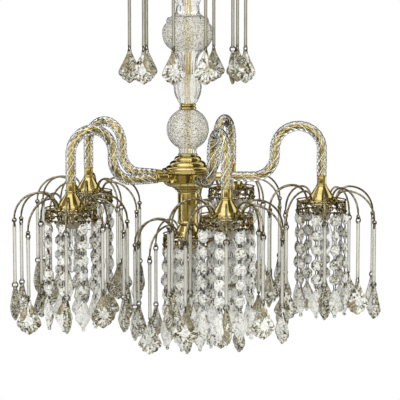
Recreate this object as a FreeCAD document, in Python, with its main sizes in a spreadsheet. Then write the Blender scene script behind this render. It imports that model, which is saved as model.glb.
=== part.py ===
import FreeCAD, Part
import math
import os
import re
import Sketcher

# A six-light chandelier: a stack of glass and brass on one stem, five arms of glass over brass tube,
# and under each lamp a curtain of cut beads with a spray of brass wires that carry rods and pendants.
# Millimetres, +Z up. The origin is the centre of the hole of the top loop, where the ceiling hook goes.
# The first arm points along +X.

Vector = FreeCAD.Vector
Turn = FreeCAD.Rotation
Place = FreeCAD.Placement
up = Vector(0, 0, 1)

# Driving sizes, one spreadsheet cell each.
sizes = {
    # fits
    "seat_gap": 0.3,
    "thread_gap": 0.1,
    "cut_overrun": 2.0,
    # top loop and its boss
    "loop_hole_radius": 9.0,
    "loop_width": 5.0,
    "loop_thickness": 6.0,
    "loop_edge": 1.5,
    "boss_radius": 8.0,
    "boss_height": 13.0,
    "boss_sink": 1.0,
    "socket_depth": 6.0,
    "wireway_radius": 3.0,
    "inlet_radius": 2.5,
    "inlet_sill": 0.5,
    # stem through the column
    "stem_radius": 5.0,
    "stem_wall": 2.0,
    "nut_radius": 9.2,
    "nut_height": 5.0,
    # crown of the column
    "cap_radius": 19.0,
    "cap_height": 16.0,
    "cap_wall": 1.4,
    "plate_radius": 30.0,
    "plate_height": 2.5,
    "collar_radius": 22.0,
    "collar_height": 32.5,
    "brass_wall": 1.6,
    # glass of the column
    "glass_wall": 3.2,
    "vase_radius": 20.3,
    "vase_height": 28.5,
    "bulb_radius": 38.0,
    "bulb_height": 100.5,
    "low_vase_radius": 20.9,
    "low_vase_height": 44.0,
    "neck_ring_radius": 12.7,
    "neck_ring_height": 9.0,
    "ball_radius": 31.8,
    "ball_height": 66.0,
    # hub
    "hub_radius": 38.5,
    "dome_height": 24.5,
    "bowl_height": 24.0,
    "bowl_wall_radius": 36.8,
    "bowl_floor_radius": 30.0,
    "bowl_wall_low": 7.2,
    "bowl_wall_high": 21.6,
    "hub_foot_radius": 23.0,
    "hub_foot_height": 9.0,
    # tube under the hub
    "sleeve_radius": 15.0,
    "sleeve_wall": 1.5,
    "sleeve_skirt": 7.6,
    "sleeve_web": 2.0,
    "centre_drop": 52.0,
    # arms
    "arm_count": 5,
    "arm_reach": 200.0,
    "arm_below_dome": 9.5,
    "arch_radius": 35.0,
    "arch_rise": 41.0,
    "bend_radius": 32.0,
    "arm_tube_radius": 4.0,
    "arm_tube_wall": 1.0,
    "arm_tube_inside": 11.0,
    "arm_glass_radius": 8.0,
    "arm_drop": 2.5,
    "ferrule_radius": 6.6,
    "ferrule_length": 10.0,
    "arm_nut_radius": 7.6,
    "arm_nut_height": 4.0,
    # one lamp: collar, cone, lamp holder, gallery
    "end_collar_radius": 7.5,
    "end_collar_height": 14.3,
    "cone_radius": 21.0,
    "cone_height": 26.2,
    "cone_wall": 1.2,
    "holder_radius": 12.0,
    "holder_height": 33.0,
    "holder_rise": 7.5,
    "holder_cap": 7.0,
    "holder_bore": 3.0,
    "holder_ring_radius": 16.0,
    "holder_ring_height": 4.0,
    "gallery_height": 18.0,
    "gallery_rim": 4.5,
    "gallery_sheet": 1.6,
    "gallery_window_width": 6.4,
    "gallery_window_height": 8.0,
    "gallery_window_low": 2.6,
    "gallery_window_count": 18,
    "gallery_hole_radius": 4.6,
    "gallery_hole_count": 12,
    # lamp bulb
    "lamp_radius": 17.5,
    "lamp_height": 65.0,
    "screw_radius": 6.75,
    "screw_height": 22.0,
    # bead curtain
    "strand_count": 8,
    "strand_radius": 36.0,
    "bead_count": 5,
    "bead_width": 18.0,
    "bead_thickness": 8.0,
    "bead_edge": 2.2,
    "bead_pitch": 22.0,
    "pin_length": 4.0,
    "pin_width": 1.6,
    "hook_length": 2.0,
    "tip_drop_height": 45.0,
    "tip_drop_width": 26.0,
    "tip_drop_thickness": 12.0,
    "tip_drop_edge": 3.0,
    # brass wires
    "wire_count": 10,
    "wire_radius": 1.3,
    "wire_ring_height": 2.5,
    "wire_ring_width": 3.8,
    "wire_reach": 59.0,
    "wire_rise": 20.0,
    "crown_wire_reach": 65.0,
    "crown_wire_rise": 16.0,
    "eye_radius": 2.6,
    "eye_wire_radius": 1.1,
    # rods and pendants
    "ring_radius": 4.0,
    "ring_wire_radius": 0.45,
    "ring_play": 0.2,
    "rod_radius": 2.6,
    "rod_length": 86.0,
    "rod_edge": 0.8,
    "ring_hole_radius": 1.15,
    "hole_margin": 2.4,
    "pendant_height": 50.0,
    "pendant_width": 35.0,
    "pendant_thickness": 12.0,
    "pendant_edge": 3.2,
    "pendant_half_at_hole": 2.3,
}

# Places that follow from the sizes, each one an expression of the names above or of earlier places.
places = {
    "stem_bore": "stem_radius + seat_gap",
    "boss_foot": "-(loop_hole_radius + loop_width - boss_sink + boss_height)",
    "stem_top": "boss_foot + socket_depth",
    "inlet_line": "stem_top + inlet_sill + inlet_radius",
    "plate_top": "boss_foot - cap_height",
    "plate_foot": "plate_top - plate_height",
    "collar_foot": "plate_foot - collar_height",
    "vase_foot": "collar_foot - vase_height",
    "bulb_foot": "vase_foot - bulb_height",
    "low_vase_foot": "bulb_foot - low_vase_height",
    "neck_ring_foot": "low_vase_foot - neck_ring_height",
    "ball_foot": "neck_ring_foot - ball_height",
    "dome_foot": "ball_foot - dome_height",
    "bowl_foot": "dome_foot - bowl_height",
    "hub_foot": "bowl_foot - hub_foot_height",
    "arm_line": "dome_foot - arm_below_dome",
    "lamp_top": "arm_line + arm_drop",
    "cone_top": "-end_collar_height",
    "cone_foot": "cone_top - cone_height",
    "holder_top": "cone_foot + holder_rise",
    "holder_foot": "holder_top - holder_height",
    "gallery_top": "cone_foot + gallery_rim",
    "gallery_foot": "gallery_top - gallery_height",
    "gallery_in": "strand_radius - gallery_sheet / 2",
    "gallery_out": "strand_radius + gallery_sheet / 2",
    "gallery_floor": "gallery_height - gallery_rim - gallery_sheet",
    "first_bead": "gallery_foot - hook_length - bead_width / 2",
    "last_bead_foot": "first_bead - bead_pitch * (bead_count - 1) - bead_width / 2",
    "tip_drop_top": "last_bead_foot - pin_length",
    "wire_ring_in": "cone_radius + seat_gap",
    "wire_start": "wire_ring_in + wire_ring_width / 2",
    "wire_foot": "cone_foot + wire_ring_height",
    "crown_ring_in": "cap_radius + seat_gap",
    "crown_wire_start": "crown_ring_in + wire_ring_width / 2",
    "crown_wire_foot": "plate_top + wire_ring_height",
    "sleeve_foot": "lamp_top - centre_drop + cone_top - sleeve_skirt",
    "sleeve_height": "hub_foot - sleeve_foot",
    "stem_foot": "lamp_top - centre_drop + holder_top",
    "arm_tube_start": "bowl_wall_radius - arm_tube_inside",
    "arm_bore": "arm_tube_radius + seat_gap",
    "ferrule_start": "bowl_wall_radius + seat_gap",
    "arm_glass_start": "ferrule_start + ferrule_length",
    "lead_radius": "arm_tube_radius - arm_tube_wall - seat_gap",
    "ring_drop": "ring_radius - ring_wire_radius + eye_radius - eye_wire_radius - ring_play",
    "ring_seat": "ring_hole_radius - ring_wire_radius - ring_play",
    "rod_hole_drop": "sqrt(ring_radius ^ 2 - rod_radius ^ 2) + ring_seat",
    "pendant_hole_drop": "sqrt(ring_radius ^ 2 - pendant_half_at_hole ^ 2) + ring_seat",
    "rod_top": "-(ring_drop + rod_hole_drop) + hole_margin",
    "rod_foot": "rod_top - rod_length",
    "low_ring": "rod_foot + hole_margin - rod_hole_drop",
    "pendant_hole": "low_ring - pendant_hole_drop",
    "pendant_top": "pendant_hole + hole_margin",
}

# Outlines, as shares of a radius and of a height, from the foot up.
# The third number is the bow of the stretch that ends there: its rise over its chord, + for a swelling one.
cap_shares = ((1.0, 0.0, 0), (1.0, 0.14, 0), (0.86, 0.46, 0.08), (0.5, 0.84, 0.06), (0.5, 1.0, 0))
plate_shares = ((0.97, 0.0, 0), (1.0, 0.4, 0), (1.0, 1.0, 0))
collar_shares = ((1.0, 0.0, 0), (1.0, 0.1, 0), (0.9, 0.16, 0), (0.5, 0.5, -0.1), (0.5, 0.62, 0),
                 (0.74, 0.94, -0.08), (0.74, 1.0, 0))
vase_shares = ((0.84, 0.0, 0), (0.87, 0.14, 0), (1.0, 0.45, 0.08), (0.92, 0.82, 0.06), (0.8, 1.0, 0.05))
bulb_shares = ((0.34, 0.0, 0), (0.37, 0.12, 0), (0.41, 0.24, -0.03), (0.51, 0.3, -0.04), (0.66, 0.36, 0),
               (1.0, 0.585, 0.13), (0.87, 0.74, 0.11), (0.84, 0.752, 0), (0.78, 0.83, 0.1),
               (0.48, 0.895, -0.1), (0.45, 1.0, 0))
low_vase_shares = ((0.575, 0.0, 0), (0.8, 0.18, 0.06), (0.985, 0.45, 0.06), (1.0, 0.73, 0.03),
                   (0.88, 0.87, 0.08), (0.62, 1.0, 0.08))
neck_ring_shares = ((0.92, 0.0, 0), (1.0, 0.08, 0), (1.0, 0.4, 0.1), (0.84, 0.5, 0), (0.92, 0.58, 0),
                    (0.92, 0.92, 0.1), (0.86, 1.0, 0))
ball_shares = ((0.418, 0.0, 0), (0.418, 0.116, 0), (1.0, 0.554, 0.146), (0.377, 1.0, 0.152))
dome_shares = ((1.0, 0.0, 0), (0.96, 0.12, 0), (0.83, 0.25, 0.06), (0.79, 0.29, 0), (0.7, 0.46, 0.06),
               (0.65, 0.51, 0), (0.51, 0.69, 0.06), (0.45, 0.73, 0), (0.38, 0.92, 0.05), (0.36, 1.0, 0))
hub_foot_shares = ((0.7, 0.0, 0), (0.7, 0.3, 0), (0.84, 0.36, 0), (0.84, 0.62, 0), (1.0, 0.68, 0),
                   (1.0, 1.0, 0))
end_collar_shares = ((0.94, 0.0, 0), (1.0, 0.06, 0), (1.0, 0.9, 0), (0.92, 1.0, 0))
cone_shares = ((1.0, 0.0, 0), (0.97, 0.16, 0), (0.91, 0.19, 0), (0.85, 0.36, 0), (0.79, 0.39, 0),
               (0.53, 0.7, -0.04), (0.38, 0.96, -0.04), (0.36, 1.0, 0))
ferrule_shares = ((1.0, 0.0, 0), (1.0, 0.35, 0), (0.88, 0.45, 0), (0.88, 0.85, 0), (0.8, 1.0, 0))
lamp_shares = ((0.0, 0.0, 0), (0.42, 0.13, 0.12), (1.0, 0.5, 0.13), (0.84, 0.8, 0.07), (0.68, 1.0, 0))
screw_shares = ((1.0, 0.0, 0), (1.0, 0.9, 0), (0.6, 1.0, 0))

# Half outlines of the cut drops, from the top down: half width, then height.
pendant_shares = ((0.15, 0.0), (0.19, 0.1), (1.0, 0.66), (0.93, 0.76), (0.68, 0.8), (0.6, 0.89), (0.3, 0.92),
                  (0.0, 1.0))
tip_drop_shares = ((0.14, 0.0), (0.2, 0.06), (0.8, 0.36), (1.0, 0.55), (0.13, 0.9), (0.2, 0.95), (0.0, 1.0))
table_share = 0.45
table_height_share = 0.58
bead_table_share = 0.55

# Hand-bent differences of the lamps' wires: the rise against the common one, the way the pendant faces
# and how far the wire strays from even spacing, in degrees.
rise_shares = (1.0, 0.82, 1.16, 0.9, 1.08, 1.2, 0.86, 1.0, 1.12, 0.8)
facing = (8, 34, -52, 18, 66, -26, 40, -70, -14, 48)
stray = (0, 3, -2, 4, -3, 1, -4, 2, 3, -1)
# The crown's wires: direction of each and the way its pendant faces, in degrees.
crown_wires = ((-70, 0), (-38, 41), (-5, -50), (32, 40), (65, 8), (101, 20), (139, -70), (185, 68), (225, 30),
               (259, 34))
spray_turn = 17.65
strand_turn = -12.0
bead_twist = 8.0
bead_twists = 7
tip_twist = 5.0
quarter_bow = (1 - math.cos(math.pi / 4)) / (2 * math.sin(math.pi / 4))

doc = FreeCAD.newDocument("chandelier")
sheet = doc.addObject("Spreadsheet::Sheet", "Dims")
for row, (alias, number) in enumerate(sizes.items(), start=1):
    sheet.set("A%d" % row, alias)
    sheet.set("B%d" % row, str(number))
    sheet.setAlias("B%d" % row, alias)
doc.recompute()

nodes = []


def bind(text):
    """Write out an expression of sizes and places in the sheet's own cells."""
    def cell(match):
        word = match.group(0)
        if word in sizes:
            return "Dims." + word
        if word in places:
            return "(" + bind(places[word]) + ")"
        return word
    return re.sub(r"[a-z][a-z_]*", cell, text)


def size(text):
    """The number that an expression of sizes and places has now."""
    return float(sheet.evalExpression(bind(text)))


def origin_plane(body, role):
    for feature in body.Origin.OriginFeatures:
        if feature.Role == role:
            return feature
    raise ValueError("no " + role)


def new_sketch(body, name, role):
    sketch = body.newObject("Sketcher::SketchObject", name)
    sketch.AttachmentSupport = [(origin_plane(body, role), "")]
    sketch.MapMode = "FlatFace"
    return sketch


def pin_point(sketch, edge, end, across, along):
    """Hold one end of an edge at bound distances from the sketch's origin."""
    for kind, axis, text in (("DistanceX", -2, across), ("DistanceY", -1, along)):
        number = size(text)
        if abs(number) < 1e-9:
            sketch.addConstraint(Sketcher.Constraint("PointOnObject", edge, end, axis))
        else:
            row = sketch.addConstraint(Sketcher.Constraint(kind, -1, 1, edge, end, number))
            sketch.setExpression("Constraints[%d]" % row, bind(text))


def draw(sketch, points, closed=True):
    """Draw lines and arcs through points of (across, along, bow) and bind every one of them."""
    spots = [Vector(size(across), size(along), 0) for across, along, bow in points]
    count = len(points) if closed else len(points) - 1
    edges = []
    for k in range(count):
        after = (k + 1) % len(points)
        start, end, bow = spots[k], spots[after], points[after][2]
        if bow == 0:
            edges.append((sketch.addGeometry(Part.LineSegment(start, end)), 1, 2))
            continue
        chord = end - start
        per_chord = 0.125 / abs(bow) + abs(bow) / 2
        radius = chord.Length * per_chord
        side = 1 if bow > 0 else -1
        left = Vector(-chord.y, chord.x, 0).normalize()
        centre = (start + end) * 0.5 + left * side * (radius - abs(bow) * chord.Length)
        first, last = [math.atan2(p.y - centre.y, p.x - centre.x) for p in (start, end)]
        circle = Part.Circle(centre, up, radius)
        if side > 0:
            edges.append((sketch.addGeometry(Part.ArcOfCircle(circle, first, last)), 1, 2))
        else:
            edges.append((sketch.addGeometry(Part.ArcOfCircle(circle, last, first)), 2, 1))
        row = sketch.addConstraint(Sketcher.Constraint("Radius", edges[-1][0], radius))
        across = "((%s) - (%s)) ^ 2" % (points[after][0], points[k][0])
        along = "((%s) - (%s)) ^ 2" % (points[after][1], points[k][1])
        length = bind("sqrt(%s + %s) * %.9g" % (across, along, per_chord))
        sketch.setExpression("Constraints[%d]" % row, length)
    for k in range(count if closed else count - 1):
        edge, begin, end = edges[k]
        after, after_begin, after_end = edges[(k + 1) % count]
        sketch.addConstraint(Sketcher.Constraint("Coincident", edge, end, after, after_begin))
    for k, (across, along, bow) in enumerate(points):
        edge, end = (edges[k][0], edges[k][1]) if k < count else (edges[-1][0], edges[-1][2])
        pin_point(sketch, edge, end, across, along)


def bind_circle(sketch, across, along, radius):
    """A circle with a bound radius about a bound point."""
    circle = sketch.addGeometry(Part.Circle(Vector(size(across), size(along), 0), up, size(radius)))
    pin_point(sketch, circle, 3, across, along)
    row = sketch.addConstraint(Sketcher.Constraint("Radius", circle, size(radius)))
    sketch.setExpression("Constraints[%d]" % row, bind(radius))


def drill_hole(body, name, role, across, along, radius, length):
    """A round hole cut from one of the body's origin planes outwards."""
    sketch = new_sketch(body, name + "_circle", role)
    bind_circle(sketch, across, along, radius)
    hole = body.newObject("PartDesign::Pocket", name)
    hole.Profile = sketch
    hole.Reversed = True
    hole.setExpression("Length", bind(length))
    return hole


def bind_place(item, height=None, spin=0):
    """Set an object's turn about Z and bind its height."""
    item.Placement = Place(Vector(0, 0, 0), Turn(up, spin))
    if height is not None:
        item.setExpression("Placement.Base.z", bind(height))


def lathe(label, points, height=None):
    """A body turned about Z from a closed outline of (radius, height, bow)."""
    body = doc.addObject("PartDesign::Body", label)
    body.Label = label
    sketch = new_sketch(body, label + "_outline", "XZ_Plane")
    draw(sketch, points)
    turn = body.newObject("PartDesign::Revolution", label + "_turn")
    turn.Profile = sketch
    turn.ReferenceAxis = (sketch, ["V_Axis"])
    turn.Angle = 360
    body.Tip = turn
    bind_place(body, height)
    return body


def outline(shares, radius, height):
    return [("%s * %g" % (radius, r), "%s * %g" % (height, z), bow) for r, z, bow in shares]


def solid_points(outer, bore, height):
    return [(bore, "0", 0)] + outer + [(bore, height, 0)]


def hollow_points(outer, bore, height, wall, closed_foot):
    """A wall of even thickness inside the outer outline, closed on top and, where asked, at the foot."""
    points = list(outer)
    roof = "%s - %s" % (height, wall)
    inner = [("%s - %s" % (r, wall), z) for r, z, bow in outer]
    inner[-1] = (inner[-1][0], roof)
    if closed_foot:
        inner[0] = (inner[0][0], wall)
    points += [(bore, height, 0), (bore, roof, 0), inner[-1] + (0,)]
    for k in range(len(outer) - 2, -1, -1):
        points.append(inner[k] + (-outer[k + 1][2],))
    if closed_foot:
        points = [(bore, "0", 0)] + points + [(bore, wall, 0)]
    return points


def keep(item):
    nodes.append(item)
    return item


def group(label, shapes):
    """A node of many separate solids."""
    item = doc.addObject("Part::Feature", label)
    item.Label = label
    item.Shape = Part.makeCompound(shapes)
    return keep(item)


def moved(shape, place):
    copy = shape.copy()
    copy.Placement = place.multiply(shape.Placement)
    return copy


def shift(x, y, z):
    return Place(Vector(x, y, z), Turn())


def spun(degrees):
    return Place(Vector(0, 0, 0), Turn(up, degrees))


# The column, from the loop down.
def make_loop():
    body = doc.addObject("PartDesign::Body", "top_loop")
    body.Label = "top_loop"
    rings = new_sketch(body, "loop_rings", "XZ_Plane")
    for radius in ("loop_hole_radius", "loop_hole_radius + loop_width"):
        bind_circle(rings, "0", "0", radius)
    pad = body.newObject("PartDesign::Pad", "loop_pad")
    pad.Profile = rings
    pad.SideType = "Symmetric"
    pad.setExpression("Length", bind("loop_thickness"))
    doc.recompute()
    round_edges = ["Edge%d" % (k + 1) for k, edge in enumerate(pad.Shape.Edges)
                   if isinstance(edge.Curve, Part.Circle)]
    fillet = body.newObject("PartDesign::Fillet", "loop_round")
    fillet.Base = (pad, round_edges)
    fillet.setExpression("Radius", bind("loop_edge"))
    boss = new_sketch(body, "boss_outline", "XZ_Plane")
    draw(boss, [("0", "inlet_line", 0), ("wireway_radius", "inlet_line", 0),
                ("wireway_radius", "stem_top", 0),
                ("stem_radius + thread_gap", "stem_top", 0), ("stem_radius + thread_gap", "boss_foot", 0),
                ("boss_radius", "boss_foot", 0), ("boss_radius", "boss_foot + boss_height", 0),
                ("0", "boss_foot + boss_height", 0)])
    turn = body.newObject("PartDesign::Revolution", "boss_turn")
    turn.Profile = boss
    turn.ReferenceAxis = (boss, ["V_Axis"])
    turn.Angle = 360
    body.Tip = drill_hole(body, "cable_inlet", "XZ_Plane", "0", "inlet_line", "inlet_radius",
                          "boss_radius + cut_overrun")
    keep(body)


def make_crown():
    cap = lathe("crown_cap", hollow_points(outline(cap_shares, "cap_radius", "cap_height"), "stem_bore",
                                           "cap_height", "cap_wall", False), "plate_top")
    keep(cap)
    keep(lathe("crown_plate", solid_points(outline(plate_shares, "plate_radius", "plate_height"),
                                           "stem_bore", "plate_height"), "plate_foot"))
    keep(lathe("crown_collar", hollow_points(outline(collar_shares, "collar_radius", "collar_height"),
                                             "stem_bore", "collar_height", "brass_wall", True),
               "collar_foot"))
    ring_points = [("crown_ring_in", "0", 0), ("crown_ring_in + wire_ring_width", "0", 0),
                   ("crown_ring_in + wire_ring_width", "wire_ring_height", 0),
                   ("crown_ring_in", "wire_ring_height", 0)]
    keep(lathe("crown_ring", ring_points, "plate_top"))


def make_column():
    glass = (("upper_vase", vase_shares, "vase_radius", "vase_height", "vase_foot"),
             ("bulb_baluster", bulb_shares, "bulb_radius", "bulb_height", "bulb_foot"),
             ("lower_vase", low_vase_shares, "low_vase_radius", "low_vase_height", "low_vase_foot"),
             ("glass_ball", ball_shares, "ball_radius", "ball_height", "ball_foot"))
    for label, shares, radius, height, foot in glass:
        keep(lathe(label, hollow_points(outline(shares, radius, height), "stem_bore", height,
                                        "glass_wall", True), foot))
    keep(lathe("neck_ring", solid_points(outline(neck_ring_shares, "neck_ring_radius", "neck_ring_height"),
                                         "stem_bore", "neck_ring_height"), "neck_ring_foot"))
    keep(lathe("hub_dome", hollow_points(outline(dome_shares, "hub_radius", "dome_height"), "stem_bore",
                                         "dome_height", "brass_wall", False), "dome_foot"))
    keep(lathe("hub_foot_ring", solid_points(outline(hub_foot_shares, "hub_foot_radius", "hub_foot_height"),
                                             "stem_bore", "hub_foot_height"), "hub_foot"))
    keep(lathe("down_tube", [("sleeve_radius - sleeve_wall", "0", 0), ("sleeve_radius", "0", 0),
                             ("sleeve_radius", "sleeve_height", 0),
                             ("sleeve_radius - sleeve_wall", "sleeve_height", 0),
                             ("sleeve_radius - sleeve_wall", "sleeve_skirt + sleeve_web", 0),
                             ("stem_bore", "sleeve_skirt + sleeve_web", 0), ("stem_bore", "sleeve_skirt", 0),
                             ("sleeve_radius - sleeve_wall", "sleeve_skirt", 0)], "sleeve_foot"))


def make_bowl():
    inside = "bowl_wall_radius - brass_wall"
    body = lathe("hub_bowl", [
        ("stem_bore", "0", 0), ("bowl_floor_radius", "0", 0), ("bowl_wall_radius", "bowl_wall_low", 0.12),
        ("bowl_wall_radius", "bowl_wall_high", 0), ("hub_radius", "bowl_wall_high", 0),
        ("hub_radius", "bowl_height", 0), (inside, "bowl_height", 0), (inside, "bowl_wall_low", 0),
        ("bowl_floor_radius - brass_wall", "brass_wall", -0.1), ("stem_bore", "brass_wall", 0)], "bowl_foot")
    hole = drill_hole(body, "arm_hole", "YZ_Plane", "0", "arm_line - bowl_foot", "arm_bore",
                      "bowl_wall_radius + cut_overrun")
    pattern_on(body, hole, "arm_holes", "arm_count")
    keep(body)


def pattern_on(body, feature, name, count):
    """Repeat a feature evenly about the body's Z axis."""
    pattern = body.newObject("PartDesign::PolarPattern", name)
    pattern.Originals = [feature]
    pattern.Axis = (origin_plane(body, "Z_Axis"), [""])
    pattern.Angle = 360
    pattern.setExpression("Occurrences", bind(count))
    body.Tip = pattern
    return pattern


def make_tube(label, radius, wall, foot, top):
    """A straight tube about Z, as a cut of two cylinders."""
    outer = doc.addObject("Part::Cylinder", label + "_outside")
    inner = doc.addObject("Part::Cylinder", label + "_bore")
    for part, r in ((outer, radius), (inner, "%s - %s" % (radius, wall))):
        part.setExpression("Radius", bind(r))
        part.setExpression("Height", bind("%s - %s" % (top, foot)))
        part.setExpression("Placement.Base.z", bind(foot))
    tube = doc.addObject("Part::Cut", label)
    tube.Label = label
    tube.Base = outer
    tube.Tool = inner
    return tube


def make_centre_lead():
    """The lead down the stem, into the socket of the middle lamp."""
    lead = doc.addObject("Part::Cylinder", "centre_lead")
    lead.setExpression("Radius", bind("lead_radius"))
    lead.setExpression("Height", bind("stem_top - stem_foot + holder_cap"))
    lead.setExpression("Placement.Base.z", bind("stem_foot - holder_cap"))
    return lead


def make_nut(label, radius, height, bore):
    block = doc.addObject("Part::Prism", label + "_block")
    block.Polygon = 6
    hole = doc.addObject("Part::Cylinder", label + "_hole")
    for part, name, text in ((block, "Circumradius", radius), (block, "Height", height),
                             (hole, "Radius", bore), (hole, "Height", height)):
        part.setExpression(name, bind(text))
    nut = doc.addObject("Part::Cut", label)
    nut.Base = block
    nut.Tool = hole
    return nut


def make_arms(arm_turns):
    """The glass of every arm; also one bent tube and one lead, as patterns for the rest."""
    riser = "arm_reach - 2 * arch_radius"
    tail = "arm_drop + holder_top"
    tube_points = [("arm_tube_start", "0", 0), ("%s - bend_radius" % riser, "0", 0),
                   (riser, "bend_radius", quarter_bow), (riser, "arch_rise", 0),
                   ("arm_reach - arch_radius", "arch_rise + arch_radius", -quarter_bow),
                   ("arm_reach", "arch_rise", -quarter_bow), ("arm_reach", tail, 0)]
    glass_points = [("arm_glass_start", "0", 0)] + tube_points[1:-1] + [("arm_reach", "arm_drop", 0)]
    lead_points = [("stem_radius + seat_gap", "0", 0)] + tube_points[1:-1] + \
                  [("arm_reach", tail + " - holder_cap", 0)]

    def pipe(label, points, radii, spin):
        body = doc.addObject("PartDesign::Body", label)
        body.Label = label
        path = new_sketch(body, label + "_path", "XZ_Plane")
        draw(path, points, closed=False)
        section = new_sketch(body, label + "_section", "YZ_Plane")
        section.setExpression("AttachmentOffset.Base.z", bind(points[0][0]))
        for radius in radii:
            bind_circle(section, "0", "0", radius)
        sweep = body.newObject("PartDesign::AdditivePipe", label + "_sweep")
        sweep.Profile = section
        sweep.Spine = path
        body.Tip = sweep
        bind_place(body, "arm_line", spin)
        return body

    for k, spin in enumerate(arm_turns, start=1):
        keep(pipe("arm_glass_%d" % k, glass_points, ("arm_glass_radius", "arm_bore"), spin))
    tube = pipe("arm_tube", tube_points, ("arm_tube_radius", "arm_tube_radius - arm_tube_wall"), 0)
    return tube, pipe("arm_lead", lead_points, ("lead_radius",), 0)


# The pieces of one lamp, drawn with the top of the lamp at height 0.
def make_lamp_patterns():
    end_collar = lathe("end_collar", solid_points(outline(end_collar_shares, "end_collar_radius",
                                                          "end_collar_height"), "arm_bore",
                                                  "end_collar_height"), "cone_top")
    cone = lathe("cone", hollow_points(outline(cone_shares, "cone_radius", "cone_height"), "stem_bore",
                                       "cone_height", "cone_wall", False), "cone_foot")
    socket = "screw_radius + seat_gap"
    roof = "holder_height - holder_cap"
    holder = lathe("holder", [(socket, "0", 0), ("holder_radius", "0", 0),
                              ("holder_radius", "holder_height", 0),
                              ("holder_bore", "holder_height", 0), ("holder_bore", roof, 0),
                              (socket, roof, 0)], "holder_foot")
    grip = "holder_radius + thread_gap"
    holder_ring = lathe("holder_ring", [(grip, "0", 0), ("holder_ring_radius", "0", 0),
                                        ("holder_ring_radius", "holder_ring_height", 0),
                                        (grip, "holder_ring_height", 0)],
                        "cone_foot - gallery_sheet - holder_ring_height")
    spray_collar = lathe("spray_collar", [("wire_ring_in", "0", 0),
                                          ("wire_ring_in + wire_ring_width", "0", 0),
                                          ("wire_ring_in + wire_ring_width", "wire_ring_height", 0),
                                          ("wire_ring_in", "wire_ring_height", 0)], "cone_foot")
    return end_collar, cone, holder, holder_ring, spray_collar


def make_gallery():
    """The pierced dish that carries the curtain: a floor with round holes inside a band with windows."""
    top = "gallery_floor + gallery_sheet"
    body = lathe("gallery", [
        ("holder_radius + seat_gap", "gallery_floor", 0), ("gallery_in", "gallery_floor", 0),
        ("gallery_in", "0", 0), ("gallery_out", "0", 0), ("gallery_out", "gallery_height", 0),
        ("gallery_in", "gallery_height", 0), ("gallery_in", top, 0), ("holder_radius + seat_gap", top, 0)],
        "gallery_foot")
    half = "gallery_window_width / 2"
    crown = "gallery_window_low + gallery_window_height"
    window = new_sketch(body, "window_outline", "YZ_Plane")
    draw(window, [(half, "gallery_window_low", 0), (half, crown, 0), ("-" + half, crown, 0),
                  ("-" + half, "gallery_window_low", 0)])
    cut = body.newObject("PartDesign::Pocket", "window_cut")
    cut.Profile = window
    cut.Reversed = True
    cut.setExpression("Length", bind("gallery_out + cut_overrun"))
    pattern_on(body, cut, "windows", "gallery_window_count")
    middle = "(gallery_in + wire_ring_in + wire_ring_width) / 2"
    hole = drill_hole(body, "floor_hole", "XY_Plane", middle, "0", "gallery_hole_radius", "gallery_height")
    pattern_on(body, hole, "floor_holes", "gallery_hole_count")
    return body


def make_wire(reach, rise, start, foot):
    """One arched wire with its eye, in the upright plane of +X; also the centre of the eye."""
    fall = reach - rise
    crest = foot + rise
    diagonal = math.sqrt(0.5)
    up_centre = Vector(start + rise, 0, foot)
    down_centre = Vector(start + rise, 0, crest - fall)
    up_middle = up_centre + Vector(-rise, 0, rise) * diagonal
    down_middle = down_centre + Vector(fall, 0, fall) * diagonal
    first = Part.Arc(Vector(start, 0, foot), up_middle, up_centre + Vector(0, 0, rise)).toShape()
    second = Part.Arc(Vector(start + rise, 0, crest), down_middle, down_centre + Vector(fall, 0, 0)).toShape()
    section = Part.Wire([Part.makeCircle(size("wire_radius"), Vector(start, 0, foot), up)])
    wire = Part.Wire([first, second]).makePipeShell([section], True, True)
    eye_spot = Vector(start + reach, 0, crest - fall - size("eye_radius"))
    eye = Part.makeTorus(size("eye_radius"), size("eye_wire_radius"), eye_spot, Vector(0, 1, 0))
    return wire.fuse(eye).removeSplitter().Solids[0], eye_spot


def ring_shape(height, axis):
    return Part.makeTorus(size("ring_radius"), size("ring_wire_radius"), Vector(0, 0, height), axis)


def make_rod(yaw):
    """A glass rod with a hole at each end; the lower hole is turned by the yaw."""
    rod = Part.makeCylinder(size("rod_radius"), size("rod_length"), Vector(0, 0, size("rod_foot")))
    ends = [edge for edge in rod.Edges if isinstance(edge.Curve, Part.Circle)]
    rod = rod.makeChamfer(size("rod_edge"), ends)
    reach = size("rod_radius + ring_wire_radius")
    axis = Vector(math.cos(math.radians(yaw)), math.sin(math.radians(yaw)), 0)
    for height, way in ((size("rod_top - hole_margin"), Vector(0, 1, 0)),
                        (size("rod_foot + hole_margin"), axis)):
        start = Vector(0, 0, height) - way * reach
        rod = rod.cut(Part.makeCylinder(size("ring_hole_radius"), 2 * reach, start, way))
    return rod.Solids[0]


def flat_face(points):
    return Part.Face(Part.makePolygon(points + points[:1]))


def cut_plate(points, thickness, edge, share, middle):
    """A faceted plate: a flat edge band round the outline and a bevel up to a table on each side.

    The points run round the outline in the XZ plane, the table is the outline drawn in towards the middle.
    """
    rings = []
    for depth, scale in ((-thickness / 2, share), (-edge / 2, 1), (edge / 2, 1), (thickness / 2, share)):
        rings.append([Vector(x * scale, depth, middle + (z - middle) * scale) for x, z in points])
    faces = [flat_face(rings[0]), flat_face(rings[-1])]
    for low, high in zip(rings, rings[1:]):
        for k in range(len(points)):
            n = (k + 1) % len(points)
            faces.append(flat_face([low[k], low[n], high[n], high[k]]))
    solid = Part.Solid(Part.Shell(faces))
    if solid.Volume < 0:
        solid.reverse()
    return solid


def drop_outline(shares, width, height, top):
    right = [(r * width / 2, top - z * height) for r, z in shares]
    left = [(-x, z) for x, z in reversed(right) if x > 0]
    return right + left


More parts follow.
